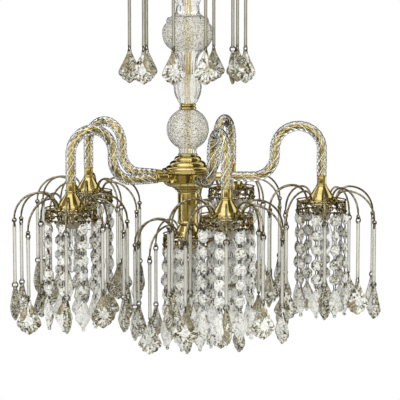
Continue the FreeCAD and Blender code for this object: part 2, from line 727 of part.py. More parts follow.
def make_bead():
    """An octagon bead, flat to flat along Z, centred on the origin, with its faces along Y."""
    half = size("bead_width") / 2
    corner = half * math.tan(math.pi / 8)
    points = []
    for k in range(4):
        x, z = ((half, corner), (corner, half), (-corner, half), (-half, corner))[k]
        points.append((x, z))
    points += [(-x, -z) for x, z in points]
    return cut_plate(points, size("bead_thickness"), size("bead_edge"), bead_table_share, 0)


def make_tip_drop():
    top = size("tip_drop_top")
    points = drop_outline(tip_drop_shares, size("tip_drop_width"), size("tip_drop_height"), top)
    middle = top - table_height_share * size("tip_drop_height")
    return cut_plate(points, size("tip_drop_thickness"), size("tip_drop_edge"), table_share, middle)


def make_pendant():
    """The large drop, turned so that its faces look along X, hung from its hole."""
    top = size("pendant_top")
    points = drop_outline(pendant_shares, size("pendant_width"), size("pendant_height"), top)
    middle = top - table_height_share * size("pendant_height")
    drop = cut_plate(points, size("pendant_thickness"), size("pendant_edge"), table_share, middle)
    reach = size("pendant_thickness")
    drill = Part.makeCylinder(size("ring_hole_radius"), 2 * reach,
                              Vector(0, -reach, size("pendant_hole")), Vector(0, 1, 0))
    return moved(drop.cut(drill).Solids[0], spun(90))


def make_pin(top, foot):
    width = size("pin_width")
    return Part.makeBox(width, width, top - foot, Vector(-width / 2, -width / 2, foot))


def hang_pendants(lamp_places):
    """Wires, rods, rings and pendants round every lamp."""
    count = int(size("wire_count"))
    pendant = make_pendant()
    top_ring = ring_shape(size("-ring_drop"), Vector(1, 0, 0))
    low_ring = ring_shape(size("low_ring"), Vector(0, 1, 0))
    kit = []
    for k in range(count):
        rise = size("wire_rise") * rise_shares[k % len(rise_shares)]
        wire, eye = make_wire(size("wire_reach"), rise, size("wire_start"), size("wire_foot"))
        yaw = facing[k % len(facing)]
        angle = spray_turn + k * 360.0 / count + stray[k % len(stray)]
        kit.append((angle, wire, Place(eye, Turn()), yaw, make_rod(yaw)))
    wires, rods, rings, drops = [], [], [], []
    for spot in lamp_places:
        for angle, wire, eye, yaw, rod in kit:
            way = spot.multiply(spun(angle))
            hang = way.multiply(eye)
            faced = hang.multiply(spun(yaw))
            wires.append(moved(wire, way))
            rods.append(moved(rod, hang))
            rings += [moved(top_ring, hang), moved(low_ring, faced)]
            drops.append(moved(pendant, faced))
    group("spray_wires", wires)
    group("spray_rods", rods)
    group("pendant_rings", rings)
    group("spray_drops", drops)


def hang_crown():
    """The wires of the crown and the ten pendants that swing on them, each a node of its own."""
    pendant = make_pendant()
    rise = size("crown_wire_rise")
    wire, eye = make_wire(size("crown_wire_reach"), rise, size("crown_wire_start"), size("crown_wire_foot"))
    wires = []
    for k, (angle, yaw) in enumerate(crown_wires):
        hang = spun(angle).multiply(Place(eye, Turn()))
        faced = hang.multiply(spun(yaw))
        wires.append(moved(wire, spun(angle)))
        group("crown_pendant_%d" % (k + 1), [
            moved(make_rod(yaw), hang), moved(ring_shape(size("-ring_drop"), Vector(1, 0, 0)), hang),
            moved(ring_shape(size("low_ring"), Vector(0, 1, 0)), faced), moved(pendant, faced)])
    group("crown_wires", wires)


def hang_curtains(lamp_places):
    """The strands of beads with a drop at each end."""
    count, levels = int(size("strand_count")), int(size("bead_count"))
    bead, tip = make_bead(), make_tip_drop()
    first, pitch, half = size("first_bead"), size("bead_pitch"), size("bead_width") / 2
    hook = make_pin(size("gallery_foot"), first + half)
    links = [make_pin(first - k * pitch - half, first - (k + 1) * pitch + half) for k in range(levels - 1)]
    links.append(make_pin(size("last_bead_foot"), size("tip_drop_top")))
    pins, tips = [], []
    for number, spot in enumerate(lamp_places, start=1):
        beads = []
        for k in range(count):
            line = spot.multiply(spun(strand_turn + k * 360.0 / count))
            line = line.multiply(shift(size("strand_radius"), 0, 0))
            for level in range(levels):
                twist = bead_twist * ((3 * k + 5 * level + number) % bead_twists - bead_twists // 2)
                place = line.multiply(shift(0, 0, first - level * pitch)).multiply(spun(90 + twist))
                beads.append(moved(bead, place))
            pins += [moved(pin, line) for pin in [hook] + links]
            lean = tip_twist * ((k + number) % 3 - 1)
            tips.append(moved(tip, line.multiply(spun(90 + lean))))
        group("bead_strands_%d" % number, beads)
    group("curtain_drops", tips)
    group("strand_pins", pins)


def make_lamps(lamp_places):
    """One bulb per lamp: glass below, screw cap above, up against the mouth of its holder."""
    glass = outline(lamp_shares, "lamp_radius", "lamp_height")
    screw = [(r, "lamp_height + %s" % z, bow) for r, z, bow in outline(screw_shares, "screw_radius",
                                                                      "screw_height")]
    for number, spot in enumerate(lamp_places, start=1):
        body = lathe("bulb_%d" % number, glass + screw + [("0", "lamp_height + screw_height", 0)])
        centre = number == len(lamp_places)
        height = "lamp_top - centre_drop" if centre else "lamp_top"
        body.setExpression("Placement.Base.z", bind("%s + holder_foot - lamp_height" % height))
        if not centre:
            spin = (number - 1) * 360.0 / size("arm_count")
            body.setExpression("Placement.Base.x", bind("arm_reach") + " * cos(%g deg)" % spin)
            body.setExpression("Placement.Base.y", bind("arm_reach") + " * sin(%g deg)" % spin)
        keep(body)


arms = int(size("arm_count"))
arm_turns = [k * 360.0 / arms for k in range(arms)]
outer_lamps = [spun(turn).multiply(shift(size("arm_reach"), 0, size("lamp_top"))).multiply(spun(-turn))
               for turn in arm_turns]
lamp_places = outer_lamps + [shift(0, 0, size("lamp_top - centre_drop"))]

make_loop()
make_crown()
make_column()
make_bowl()
stem = make_tube("centre_stem", "stem_radius", "stem_wall", "stem_foot", "stem_top")
keep(stem)
arm_tube, arm_lead = make_arms(arm_turns)
centre_lead = make_centre_lead()
end_collar, cone, holder, holder_ring, spray_collar = make_lamp_patterns()
gallery = make_gallery()
stem_nut = make_nut("stem_nut", "nut_radius", "nut_height", "stem_radius + thread_gap")
arm_nut = make_nut("arm_nut", "arm_nut_radius", "arm_nut_height", "arm_tube_radius + thread_gap")
ferrule = lathe("ferrule", solid_points(outline(ferrule_shares, "ferrule_radius", "ferrule_length"),
                                        "arm_bore", "ferrule_length"))
make_lamps(lamp_places)
doc.recompute()

on_arm = Place(Vector(0, 0, size("arm_line")), Turn(Vector(0, 1, 0), 90))
nut_seat = math.sqrt(size("bowl_wall_radius - brass_wall") ** 2 - size("arm_nut_radius") ** 2)
nut_place = shift(nut_seat - size("arm_nut_height + seat_gap"), 0, 0).multiply(on_arm)
ferrule_place = shift(size("ferrule_start"), 0, 0).multiply(on_arm)
group("arm_tubes", [moved(arm_tube.Shape, spun(turn)) for turn in arm_turns])
group("wiring", [moved(arm_lead.Shape, spun(turn)) for turn in arm_turns] + [centre_lead.Shape])
group("arm_nuts", [moved(arm_nut.Shape, spun(turn).multiply(nut_place)) for turn in arm_turns])
group("arm_ferrules", [moved(ferrule.Shape, spun(turn).multiply(ferrule_place)) for turn in arm_turns])
nut_levels = ("plate_top", "bowl_foot + brass_wall", "sleeve_foot + sleeve_skirt + sleeve_web")
group("stem_nuts", [moved(stem_nut.Shape, shift(0, 0, size(level))) for level in nut_levels])
group("end_collars", [moved(end_collar.Shape, spot) for spot in outer_lamps])
for label, pattern in (("cones", cone), ("lamp_holders", holder), ("holder_rings", holder_ring),
                       ("galleries", gallery), ("spray_collars", spray_collar)):
    group(label, [moved(pattern.Shape, spot) for spot in lamp_places])
hang_curtains(lamp_places)
hang_pendants(lamp_places)
hang_crown()
doc.recompute()

for item in doc.Objects:
    if "Invalid" in item.State or "Error" in item.State:
        raise RuntimeError("%s failed: %s" % (item.Label, item.State))
os.makedirs("parts", exist_ok=True)
for node in nodes:
    if node.Shape.isNull() or not node.Shape.isValid():
        raise RuntimeError("%s has no valid shape" % node.Label)
for node in nodes:
    node.Shape.exportStep("parts/%s.step" % node.Label)
    print("%-18s %4d solids %10.1f mm3" % (node.Label, len(node.Shape.Solids), node.Shape.Volume))
print("%d nodes" % len(nodes))
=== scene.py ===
import random
from math import atan2, cos, pi, radians, sin, sqrt

import bmesh
import bpy
import numpy as np
from mathutils import Matrix, Vector
from mathutils.kdtree import KDTree


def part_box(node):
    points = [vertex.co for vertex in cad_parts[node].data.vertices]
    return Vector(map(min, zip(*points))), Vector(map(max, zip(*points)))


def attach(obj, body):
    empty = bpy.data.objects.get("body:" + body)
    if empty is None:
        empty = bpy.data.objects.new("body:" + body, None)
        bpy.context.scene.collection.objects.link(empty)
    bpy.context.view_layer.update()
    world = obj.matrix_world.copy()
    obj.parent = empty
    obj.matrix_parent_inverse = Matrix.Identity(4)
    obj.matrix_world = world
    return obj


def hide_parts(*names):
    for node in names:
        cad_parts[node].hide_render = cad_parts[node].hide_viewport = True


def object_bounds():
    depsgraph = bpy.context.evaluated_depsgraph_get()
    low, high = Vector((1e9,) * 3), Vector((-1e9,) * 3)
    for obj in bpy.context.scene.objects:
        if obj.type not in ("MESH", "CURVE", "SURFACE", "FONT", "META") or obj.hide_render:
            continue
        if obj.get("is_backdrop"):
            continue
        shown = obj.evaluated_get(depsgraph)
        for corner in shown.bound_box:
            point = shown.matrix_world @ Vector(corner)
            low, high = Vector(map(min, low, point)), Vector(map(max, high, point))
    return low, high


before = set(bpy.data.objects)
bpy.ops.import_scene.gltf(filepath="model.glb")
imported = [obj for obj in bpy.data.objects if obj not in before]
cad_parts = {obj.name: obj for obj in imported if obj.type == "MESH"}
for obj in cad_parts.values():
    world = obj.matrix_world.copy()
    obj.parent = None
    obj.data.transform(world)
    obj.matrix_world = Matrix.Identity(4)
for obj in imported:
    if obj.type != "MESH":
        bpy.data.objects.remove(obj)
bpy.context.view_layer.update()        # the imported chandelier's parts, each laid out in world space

mm = 0.001
white = (1, 1, 1)
dice = random.Random(4103)
bpy.context.scene.view_settings.view_transform = "Standard"


def addObject(name, data):
    thing = bpy.data.objects.new(name, data)
    bpy.context.scene.collection.objects.link(thing)
    return thing


def roundSection(radius, sides=8):
    return [(radius * cos(2 * pi * k / sides), radius * sin(2 * pi * k / sides)) for k in range(sides)]


# shader nodes
def isSocket(value):
    return isinstance(value, bpy.types.NodeSocket)


def addNode(tree, kind, inputs=None, **settings):
    node = tree.nodes.new("ShaderNode" + kind)
    for key, value in settings.items():
        setattr(node, key, value)
    for key, value in (inputs or {}).items():
        if isSocket(value):
            tree.links.new(value, node.inputs[key])
        else:
            node.inputs[key].default_value = value
    return node


def calc(tree, operation, a, b=0.0):
    return addNode(tree, "Math", {0: a, 1: b}, operation=operation).outputs[0]


def spread(tree, value, low, high, outLow=0, outHigh=1, ease="LINEAR"):
    return addNode(tree, "MapRange", {0: value, 1: low, 2: high, 3: outLow, 4: outHigh},
                   interpolation_type=ease).outputs[0]


def softSpread(tree, value, low, high, outLow=0, outHigh=1):
    return spread(tree, value, low, high, outLow, outHigh, "SMOOTHSTEP")


def mixColour(tree, factor, a, b, blend="MIX"):
    a, b = (colour if isSocket(colour) else (*colour, 1.0) for colour in (a, b))
    return addNode(tree, "Mix", {0: factor, 6: a, 7: b}, data_type="RGBA",
                   blend_type=blend).outputs[2]


def colourRamp(tree, factor, stops):
    node = addNode(tree, "ValToRGB", {"Fac": factor})
    elements = node.color_ramp.elements
    while len(elements) < len(stops):
        elements.new(0.5)
    for element, (place, colour) in zip(elements, stops):
        element.position = place
    for element, (place, colour) in zip(elements, stops):
        element.color = (*colour, 1.0)
    return node.outputs["Color"]


def greyRamp(tree, factor, stops):
    return colourRamp(tree, factor, [(place, (grey,) * 3) for place, grey in stops])


def toneOn(tree):
    # every face of a piece has its own tone
    return addNode(tree, "Attribute", attribute_name="tone").outputs["Fac"]


def spotOn(tree):
    return addNode(tree, "TexCoord").outputs["Object"]


def noiseOn(tree, scale, detail=3, stretch=None):
    spot = spotOn(tree)
    if stretch:
        spot = addNode(tree, "Mapping", {0: spot, 3: stretch}).outputs[0]
    return addNode(tree, "TexNoise", {0: spot, "Scale": scale, "Detail": detail}).outputs["Fac"]


def cloudOn(tree, scale, detail=3):
    return spread(tree, noiseOn(tree, scale, detail), 0.35, 0.65)


def cellsOn(tree, scale):
    # one value between 0 and 1 for each cell
    cells = addNode(tree, "TexVoronoi", {"Vector": spotOn(tree), "Scale": scale}).outputs["Color"]
    return addNode(tree, "SeparateColor", {0: cells}).outputs[0]


def rimOn(tree, edges):
    facing = addNode(tree, "LayerWeight", {"Blend": 0.5}).outputs["Facing"]
    return softSpread(tree, facing, *edges)


def bumpOn(tree, height, strength, deep=0.0002):
    return addNode(tree, "Bump", {"Height": height, "Strength": strength, "Distance": deep}).outputs[0]


def newFinish(name):
    material = bpy.data.materials.new(name)
    material.use_nodes = True
    return material, material.node_tree


def paint(material, **values):
    # sets or links sockets of the shader; an underscore stands for the space in a socket's name
    tree = material.node_tree
    for key, value in values.items():
        socket = tree.nodes["Principled BSDF"].inputs[key.replace("_", " ")]
        if isSocket(value):
            tree.links.new(value, socket)
        else:
            socket.default_value = value
    return material


# camera, studio lamps, room and floor
shot = dict(turn=-87.35, distance=2.4, height=-0.1235, aimSide=0.0183, aimHeight=-0.3948,
            lens=144.9, sensor=36, farClip=60)
studio = dict(aim=(0, 0, -0.33), panels=dict(
    # direction in degrees, height, distance, side of the panel, watts
    keyPanel=(-135, 0.9, 2.6, 2.4, 20), fillPanel=(-38, 0.6, 2.8, 2.4, 12),
    backPanel=(95, 1.2, 2.6, 2.4, 10), topPanel=(10, 2.1, 0.6, 2.2, 10)))


def pointAt(thing, place, aim):
    thing.location = place
    thing.rotation_euler = (aim - place).to_track_quat("-Z", "Y").to_euler()


def setCamera():
    turn = radians(shot["turn"])
    side = Vector((-sin(turn), cos(turn), 0))
    data = bpy.data.cameras.new("photoView")
    data.lens = shot["lens"]
    data.sensor_width = shot["sensor"]
    data.clip_end = shot["farClip"]
    camera = addObject("photoView", data)
    pointAt(camera, Vector((cos(turn) * shot["distance"], sin(turn) * shot["distance"], shot["height"])),
            side * shot["aimSide"] + Vector((0, 0, shot["aimHeight"])))
    bpy.context.scene.camera = camera


def setPanels():
    for name, (direction, height, distance, side, watts) in studio["panels"].items():
        data = bpy.data.lights.new(name, "AREA")
        data.size = side
        data.energy = watts
        lamp = addObject(name, data)
        way = radians(direction)
        pointAt(lamp, Vector((cos(way) * distance, sin(way) * distance, height)), Vector(studio["aim"]))
        lamp.visible_glossy = False        # the metal shows the room's own panels


# pairs are (place, brightness): heights, farRight and farLeft go by height, levelWalls and raisedWalls by
# the share of a turn from the camera's side over the right
roomShow = dict(
    even=1.45, warm=(1, 0.84, 0.5), warmEdges=(0.35, 1.05),
    # glass shows pale walls with soft dark strips, and a dark band above the lamp
    strips=8, stripEdges=(-0.97, -0.62), behind=92.65, darkGlass=(0.03, 0.029, 0.017),
    heights=((0, 0.75), (0.25, 0.75), (0.34, 1), (0.68, 1), (0.73, 0.15), (0.79, 0.15), (0.84, 1)),
    # a polished wall shows panels, dark lines and a dark back
    levelWalls=(
        (0, 0.05), (0.02, 0.05), (0.04, 0.3), (0.15, 0.36), (0.23, 0.26), (0.25, 0.3), (0.262, 1.4),
        (0.345, 1.4), (0.36, 0.03), (0.575, 0.02), (0.588, 1.4), (0.65, 1.4), (0.663, 0.03), (0.75, 0.02),
        (0.762, 1.45), (0.825, 1.45), (0.84, 0.1), (0.87, 0.12), (0.885, 0.36), (0.97, 0.3), (0.985, 0.05)),
    # a cone shows a wide panel above the camera, a brown gap right of it and narrow panels at the sides
    raisedWalls=(
        (0, 1.5), (0.09, 1.5), (0.105, 0.12), (0.255, 0.1), (0.27, 1.15), (0.345, 1.15), (0.36, 0.02),
        (0.6, 0.02), (0.615, 1.15), (0.675, 1.15), (0.69, 0.2), (0.79, 0.3), (0.805, 1.5)),
    # and a dome looks over to the far wall, right and left
    farRight=(
        (0, 0.02), (0.49, 0.02), (0.52, 0.75), (0.67, 0.75), (0.7, 0.11), (0.88, 0.1), (0.91, 1.4)),
    farLeft=((0, 0.02), (0.66, 0.02), (0.7, 1.4)), farMiddle=(0.495, 0.505), farSides=(0.125, 0.135),
    raisedEdges=(-0.12, 0.3), overhead=1.15, overheadEdges=(0.86, 0.98), below=0.2,
    belowEdges=(-0.5, -0.2))


def setRoom():
    look = roomShow
    world = bpy.data.worlds.new("paleRoom")
    bpy.context.scene.world = world
    world.use_nodes = True
    tree = world.node_tree
    tree.nodes.clear()
    way = addNode(tree, "TexCoord").outputs["Generated"]
    parts = addNode(tree, "SeparateXYZ", {0: way}).outputs
    up = parts["Z"]
    angle = calc(tree, "ARCTAN2", parts["Y"], parts["X"])
    # for the rays that leave the glass
    turnBack = calc(tree, "SUBTRACT", angle, radians(look["behind"]))
    wave = calc(tree, "COSINE", calc(tree, "MULTIPLY", turnBack, look["strips"]))
    height = greyRamp(tree, calc(tree, "ADD", calc(tree, "MULTIPLY", up, 0.5), 0.5), look["heights"])
    pale = mixColour(tree, 1.0, height, softSpread(tree, wave, *look["stripEdges"]), "MULTIPLY")
    glass = mixColour(tree, pale, look["darkGlass"], white)
    # for the metal: level walls, raised walls, the far wall, one panel overhead, dim below
    turn = calc(tree, "SUBTRACT", angle, radians(shot["turn"]))
    share = calc(tree, "FRACT", calc(tree, "DIVIDE", turn, 2 * pi))
    right, left = (greyRamp(tree, up, look[key]) for key in ("farRight", "farLeft"))
    level, raised = (greyRamp(tree, share, look[key]) for key in ("levelWalls", "raisedWalls"))
    far = mixColour(tree, softSpread(tree, share, *look["farMiddle"]), right, left)
    aside = calc(tree, "ABSOLUTE", calc(tree, "SUBTRACT", share, 0.5))
    raised = mixColour(tree, softSpread(tree, aside, *look["farSides"]), far, raised)
    metal = mixColour(tree, softSpread(tree, up, *look["raisedEdges"]), level, raised)
    metal = mixColour(tree, softSpread(tree, up, *look["overheadEdges"]), metal, (look["overhead"],) * 3)
    metal = mixColour(tree, softSpread(tree, up, *look["belowEdges"]), (look["below"],) * 3, metal)
    # the dim walls are warm, the panels white
    tint = mixColour(tree, softSpread(tree, metal, *look["warmEdges"]), look["warm"], white)
    metal = mixColour(tree, 1.0, metal, tint, "MULTIPLY")
    rays = addNode(tree, "LightPath").outputs
    seen = mixColour(tree, rays["Is Glossy Ray"], (look["even"],) * 3, metal)
    seen = mixColour(tree, rays["Is Transmission Ray"], seen, glass)
    seen = mixColour(tree, rays["Is Camera Ray"], seen, white)
    back = addNode(tree, "Background", {"Color": seen, "Strength": 1.0})
    addNode(tree, "OutputWorld", {"Surface": back.outputs[0]})


# the shade under the lamp runs out between two distances, from one brightness to the other
floorLook = dict(depth=-1.5, radius=2.6, sides=96, paint=(0.86, 0.86, 0.85, 1), rough=0.8,
                 shade=(0.5, 1.3, 0.55, 1), inMetal=0.22)


def setFloor():
    look = floorLook
    material, tree = newFinish("paleFloor")
    paint(material, Base_Color=look["paint"], Roughness=look["rough"])
    rays = addNode(tree, "LightPath").outputs
    bright = spread(tree, rays["Is Glossy Ray"], 0, 1, 1, look["inMetal"])
    glow = addNode(tree, "Emission", {"Color": (*white, 1.0), "Strength": bright})
    reach = addNode(tree, "VectorMath", {0: spotOn(tree)}, operation="LENGTH").outputs["Value"]
    shown = calc(tree, "MAXIMUM", rays["Is Camera Ray"],
                 calc(tree, "MAXIMUM", rays["Is Glossy Ray"], rays["Is Transmission Ray"]))
    share = calc(tree, "MULTIPLY", shown, softSpread(tree, reach, *look["shade"]))
    plain = tree.nodes["Principled BSDF"].outputs[0]
    mix = addNode(tree, "MixShader", {0: share, 1: plain, 2: glow.outputs[0]})
    tree.links.new(mix.outputs[0], tree.nodes["Material Output"].inputs["Surface"])
    mesh = bpy.data.meshes.new("floor")
    ring = [(x, y, 0) for x, y in roundSection(look["radius"], look["sides"])]
    mesh.from_pydata(ring, [], [tuple(range(look["sides"]))])
    mesh.materials.append(material)
    floor = addObject("floor", mesh)
    floor.location = (0, 0, look["depth"])
    floor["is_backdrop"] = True


# metals: cloud and grain are waves to the metre, crevice is how far the painted shade of a nook reaches out
# of it, in metres
brassLook = dict(light=(0.8, 0.68, 0.31), deep=(0.58, 0.45, 0.14), nookShadeColour=(0.03, 0.022, 0.01),
                 shine=(0.02, 0.07), cloud=70, edges=(0.35, 0.65), grain=1400, relief=0.035,
                 crevice=0.0035, nook=(0.35, 0.85, 0.85, 0))
# brass under glass gets no painted shade in its nooks
coreLook = dict(brassLook, light=(0.84, 0.7, 0.3), deep=(0.5, 0.38, 0.09), cloud=160, crevice=0)
stemLook = dict(coreLook, light=(0.97, 0.93, 0.8), deep=(0.66, 0.5, 0.16), cloud=260, streak=(1, 1, 0.06))
sprayWireLook = dict(coreLook, light=(0.5, 0.45, 0.31), deep=(0.13, 0.105, 0.05), shine=(0.12, 0.22),
                     cloud=220, grain=1500, relief=0.08)
# the galleries' brass is near black, and the noise lays spots of light brass on it as painted glints
darkBrassLook = dict(brassLook, light=(0.78, 0.63, 0.32), deep=(0.014, 0.011, 0.005), shine=(0.08, 0.2),
                     nookShadeColour=(0.005, 0.004, 0.002), cloud=420, edges=(0.42, 0.56), grain=900, relief=0.08,
                     crevice=0.004)
steelLook = dict(brassLook, light=(0.62, 0.62, 0.6), deep=(0.42, 0.42, 0.41), nookShadeColour=(0.1, 0.09, 0.08),
                 shine=(0.22, 0.38), cloud=160, grain=1600, relief=0.08, crevice=0.003)
wireLook = dict(steelLook, light=(0.16, 0.13, 0.08), deep=(0.07, 0.055, 0.035), shine=(0.25, 0.4),
                nookShadeColour=(0.02, 0.018, 0.012), cloud=300, grain=1500, crevice=0.002)


def metalFinish(name, look):
    material, tree = newFinish(name)
    cloud = noiseOn(tree, look["cloud"], 4, look.get("streak"))
    colour = mixColour(tree, spread(tree, cloud, *look["edges"]), look["light"], look["deep"])
    # painted shade: ambient occlusion darkens the colour towards near black in nooks, grooves and gaps
    # between parts
    if look["crevice"]:
        nook = addNode(tree, "AmbientOcclusion", {"Distance": look["crevice"]}, samples=6)
        paintedNookShade = spread(tree, nook.outputs["AO"], *look["nook"])
        colour = mixColour(tree, paintedNookShade, colour, look["nookShadeColour"])
    return paint(material, Metallic=1.0, Base_Color=colour,
                 Roughness=spread(tree, cloud, 0.3, 0.7, *look["shine"]),
                 Normal=bumpOn(tree, noiseOn(tree, look["grain"], 2), look["relief"]))


# colours by tone, from clear to dark, which paint the crystal's reflections and shade; small cells of about
# two millimetres break each facet up into painted glints
crystalLook = dict(
    clear=0.36, bend=1.5, shine=(0.03, 0.09), cells=560, share=(0.5, 0.14), tones=(
        (0, (1, 0.995, 0.95)), (0.26, (0.95, 0.945, 0.89)), (0.4, (0.74, 0.75, 0.72)),
        (0.49, (0.6, 0.58, 0.49)), (0.54, (0.46, 0.55, 0.64)), (0.6, (0.62, 0.54, 0.36)),
        (0.7, (0.28, 0.255, 0.16)), (0.82, (0.075, 0.065, 0.033)), (1, (0.015, 0.013, 0.007))))
# the larger drops show whole facets
dropCrystalLook = dict(crystalLook, share=(0.42, 0.12))


def crystalFinish(name, look):
    material, tree = newFinish(name)
    tone, pick = toneOn(tree), cellsOn(tree, look["cells"])
    # a tone above one marks a facet in even shade, where the cells hardly show
    plain = calc(tree, "GREATER_THAN", tone, 1.02)
    tone = calc(tree, "SUBTRACT", tone, plain)
    share = spread(tree, plain, 0, 1, *look["share"])
    mixed = calc(tree, "ADD", tone, calc(tree, "MULTIPLY", calc(tree, "SUBTRACT", pick, tone), share))
    return paint(material, IOR=look["bend"], Transmission_Weight=look["clear"],
                 Base_Color=colourRamp(tree, mixed, look["tones"]),
                 Roughness=spread(tree, pick, 0, 1, *look["shine"]))


# painted shade: thick glass is coloured darker towards its edge, where it is seen edge on
rodGlassLook = dict(middle=(0.9, 0.88, 0.8), edge=(0.05, 0.045, 0.02), bend=1.5, shine=0.03,
                    rim=(0.16, 0.5), clear=0.72, streaks=700, streakEdges=(0.5, 0.7, 0, 0.35))
# the crown's rods hang before the dim upper room, so their colour is painted darker, as painted shade
crownRodLook = dict(rodGlassLook, middle=(0.56, 0.53, 0.43), edge=(0.03, 0.027, 0.013), rim=(0.08, 0.42),
                    clear=0.62)


def rodGlassFinish(name, look):
    material, tree = newFinish(name)
    streaks = spread(tree, noiseOn(tree, look["streaks"], 2, (1, 1, 0.05)), *look["streakEdges"])
    # painted shade: the rim darkens the colour where the glass is seen edge on
    dark = calc(tree, "MAXIMUM", rimOn(tree, look["rim"]), streaks)
    return paint(material, IOR=look["bend"], Transmission_Weight=look["clear"], Roughness=look["shine"],
                 Base_Color=mixColour(tree, dark, look["middle"], look["edge"]))


# tone 0 is the clear neck, 0.5 the pale side of the pressed body and 1 its dark cells
pressedLook = dict(clear=(0.98, 0.98, 0.96), grains=820, bend=1.5, through=(0.97, 0.8),
                   shine=(0.03, 0.05), darker=0.3, tones=(
        (0, (1, 1, 0.99)), (0.34, (0.98, 0.98, 0.97)), (0.42, (0.87, 0.87, 0.84)),
        (0.58, (0.82, 0.82, 0.78)), (0.64, (0.9, 0.82, 0.6)), (0.74, (0.84, 0.78, 0.6)),
        (0.8, (0.5, 0.48, 0.38)), (0.94, (0.38, 0.36, 0.26)), (1, (0.12, 0.11, 0.07))))


def pressedFinish(name, look):
    material, tree = newFinish(name)
    tone = toneOn(tree)
    onBody = spread(tree, tone, 0, 0.5)
    pick = calc(tree, "ADD", cellsOn(tree, look["grains"]), spread(tree, tone, 0.5, 1, 0, look["darker"]))
    return paint(material, IOR=look["bend"],
                 Base_Color=mixColour(tree, onBody, look["clear"], colourRamp(tree, pick, look["tones"])),
                 Transmission_Weight=spread(tree, onBody, 0, 1, *look["through"]),
                 Roughness=spread(tree, onBody, 0, 1, *look["shine"]))


# tone 0 is clear, 0.5 a painted white highlight streak, 1 a painted dark shade streak
ropeGlassLook = dict(
    tones=((0, (0.98, 0.98, 0.96)), (0.5, (1, 1, 0.99)), (1, (0.05, 0.045, 0.022))),
    through=((0, 1), (0.5, 0.4), (1, 0.6)), edge=(0.04, 0.037, 0.02), rim=(0.42, 0.78),
    bend=1.3, shine=0.02)


def ropeGlassFinish(name, look):
    material, tree = newFinish(name)
    tone = toneOn(tree)
    # painted shade: the colour goes dark where the glass is seen edge on
    colour = mixColour(tree, rimOn(tree, look["rim"]), colourRamp(tree, tone, look["tones"]), look["edge"])
    return paint(material, IOR=look["bend"], Roughness=look["shine"], Base_Color=colour,
                 Transmission_Weight=greyRamp(tree, tone, look["through"]))


bulbGlassLook = dict(pale=white, deep=(0.95, 0.95, 0.93), cloud=60, bend=1.46, shine=0.01)


def bulbGlassFinish(name, look):
    material, tree = newFinish(name)
    return paint(material, Roughness=look["shine"], Transmission_Weight=1.0, IOR=look["bend"],
                 Base_Color=mixColour(tree, cloudOn(tree, look["cloud"], 2), look["pale"], look["deep"]))


softPlasticLook = dict(cloud=400, grain=1500, relief=0.1, duller=0.12)


def softPlasticFinish(name, pale, deep, shine):
    look = softPlasticLook
    material, tree = newFinish(name)
    cloud = cloudOn(tree, look["cloud"])
    return paint(material, Base_Color=mixColour(tree, cloud, pale, deep),
                 Roughness=spread(tree, cloud, 0, 1, shine, shine + look["duller"]),
                 Normal=bumpOn(tree, noiseOn(tree, look["grain"], 2), look["relief"]))


finishes = dict(
    brass=metalFinish("polishedBrass", brassLook),
    core=metalFinish("brassUnderGlass", coreLook),
    stem=metalFinish("stemUnderGlass", stemLook),
    sprayWire=metalFinish("wireBrass", sprayWireLook),
    darkBrass=metalFinish("darkBrassWithPaintedGlints", darkBrassLook),
    steel=metalFinish("zincSteel", steelLook),
    darkWire=metalFinish("brownedWire", wireLook),
    crystal=crystalFinish("cutCrystal", crystalLook),
    dropCrystal=crystalFinish("dropCrystal", dropCrystalLook),
    pressed=pressedFinish("pressedGlass", pressedLook),
    rod=rodGlassFinish("rodGlass", rodGlassLook),
    crownRod=rodGlassFinish("crownRodGlass", crownRodLook),
    rope=ropeGlassFinish("ropeGlass", ropeGlassLook),
    bulb=bulbGlassFinish("bulbGlass", bulbGlassLook),
    # the lamp holders' ivory is painted darker, as painted shade inside the crystal curtain
    ivory=softPlasticFinish("shadedIvoryPlastic", (0.32, 0.28, 0.2), (0.22, 0.19, 0.125), 0.38),
    black=softPlasticFinish("blackGlaze", (0.03, 0.03, 0.03), (0.05, 0.05, 0.045), 0.25),
    lead=softPlasticFinish("leadSheath", (0.8, 0.8, 0.78), (0.7, 0.7, 0.68), 0.45),
)
# the record's slot that each finish of a new piece belongs to
slotOf = dict(darkWire="dark_wire", pressed="column_glass", rope="arm_glass", bulb="lamp_glass",
              black="holder_plastic")
slotOf.update(dict.fromkeys(("brass", "sprayWire", "darkBrass"), "polished_brass"))
slotOf.update(dict.fromkeys(("crystal", "dropCrystal", "rod", "crownRod"), "cut_crystal"))

setCamera()
setPanels()
setRoom()
setFloor()
print("set, camera and finishes ready")


# shapes: a part is its points in millimetres, its faces and a tone for each face
def bowLine(look, steps=7):
    # shares run up the outline: radius, height and, where the stretch that ends there is bowed, its bow
    radius, height, foot = look["radius"], look["height"], look.get("foot", 0.0)
    line = [(look["shares"][0][0] * radius, foot + look["shares"][0][1] * height)]
    for r, z, *bow in look["shares"][1:]:
        r0, z0 = line[-1]
        dr, dz = r * radius - r0, foot + z * height - z0
        count = steps if bow else 1
        for i in range(1, count + 1):
            t = i / count
            push = 4 * sum(bow) * t * (1 - t)
            line.append((r0 + dr * t + dz * push, z0 + dz * t - dr * push))
    return line


def stretch(a, b):
    return sqrt((b[0] - a[0]) ** 2 + (b[1] - a[1]) ** 2)


def fineLine(line, step):
    fine = [line[0]]
    for (r0, z0), (r1, z1) in zip(line, line[1:]):
        count = max(1, round(stretch((r0, z0), (r1, z1)) / step))
        fine += [(r0 + (r1 - r0) * i / count, z0 + (z1 - z0) * i / count) for i in range(1, count + 1)]
    return fine


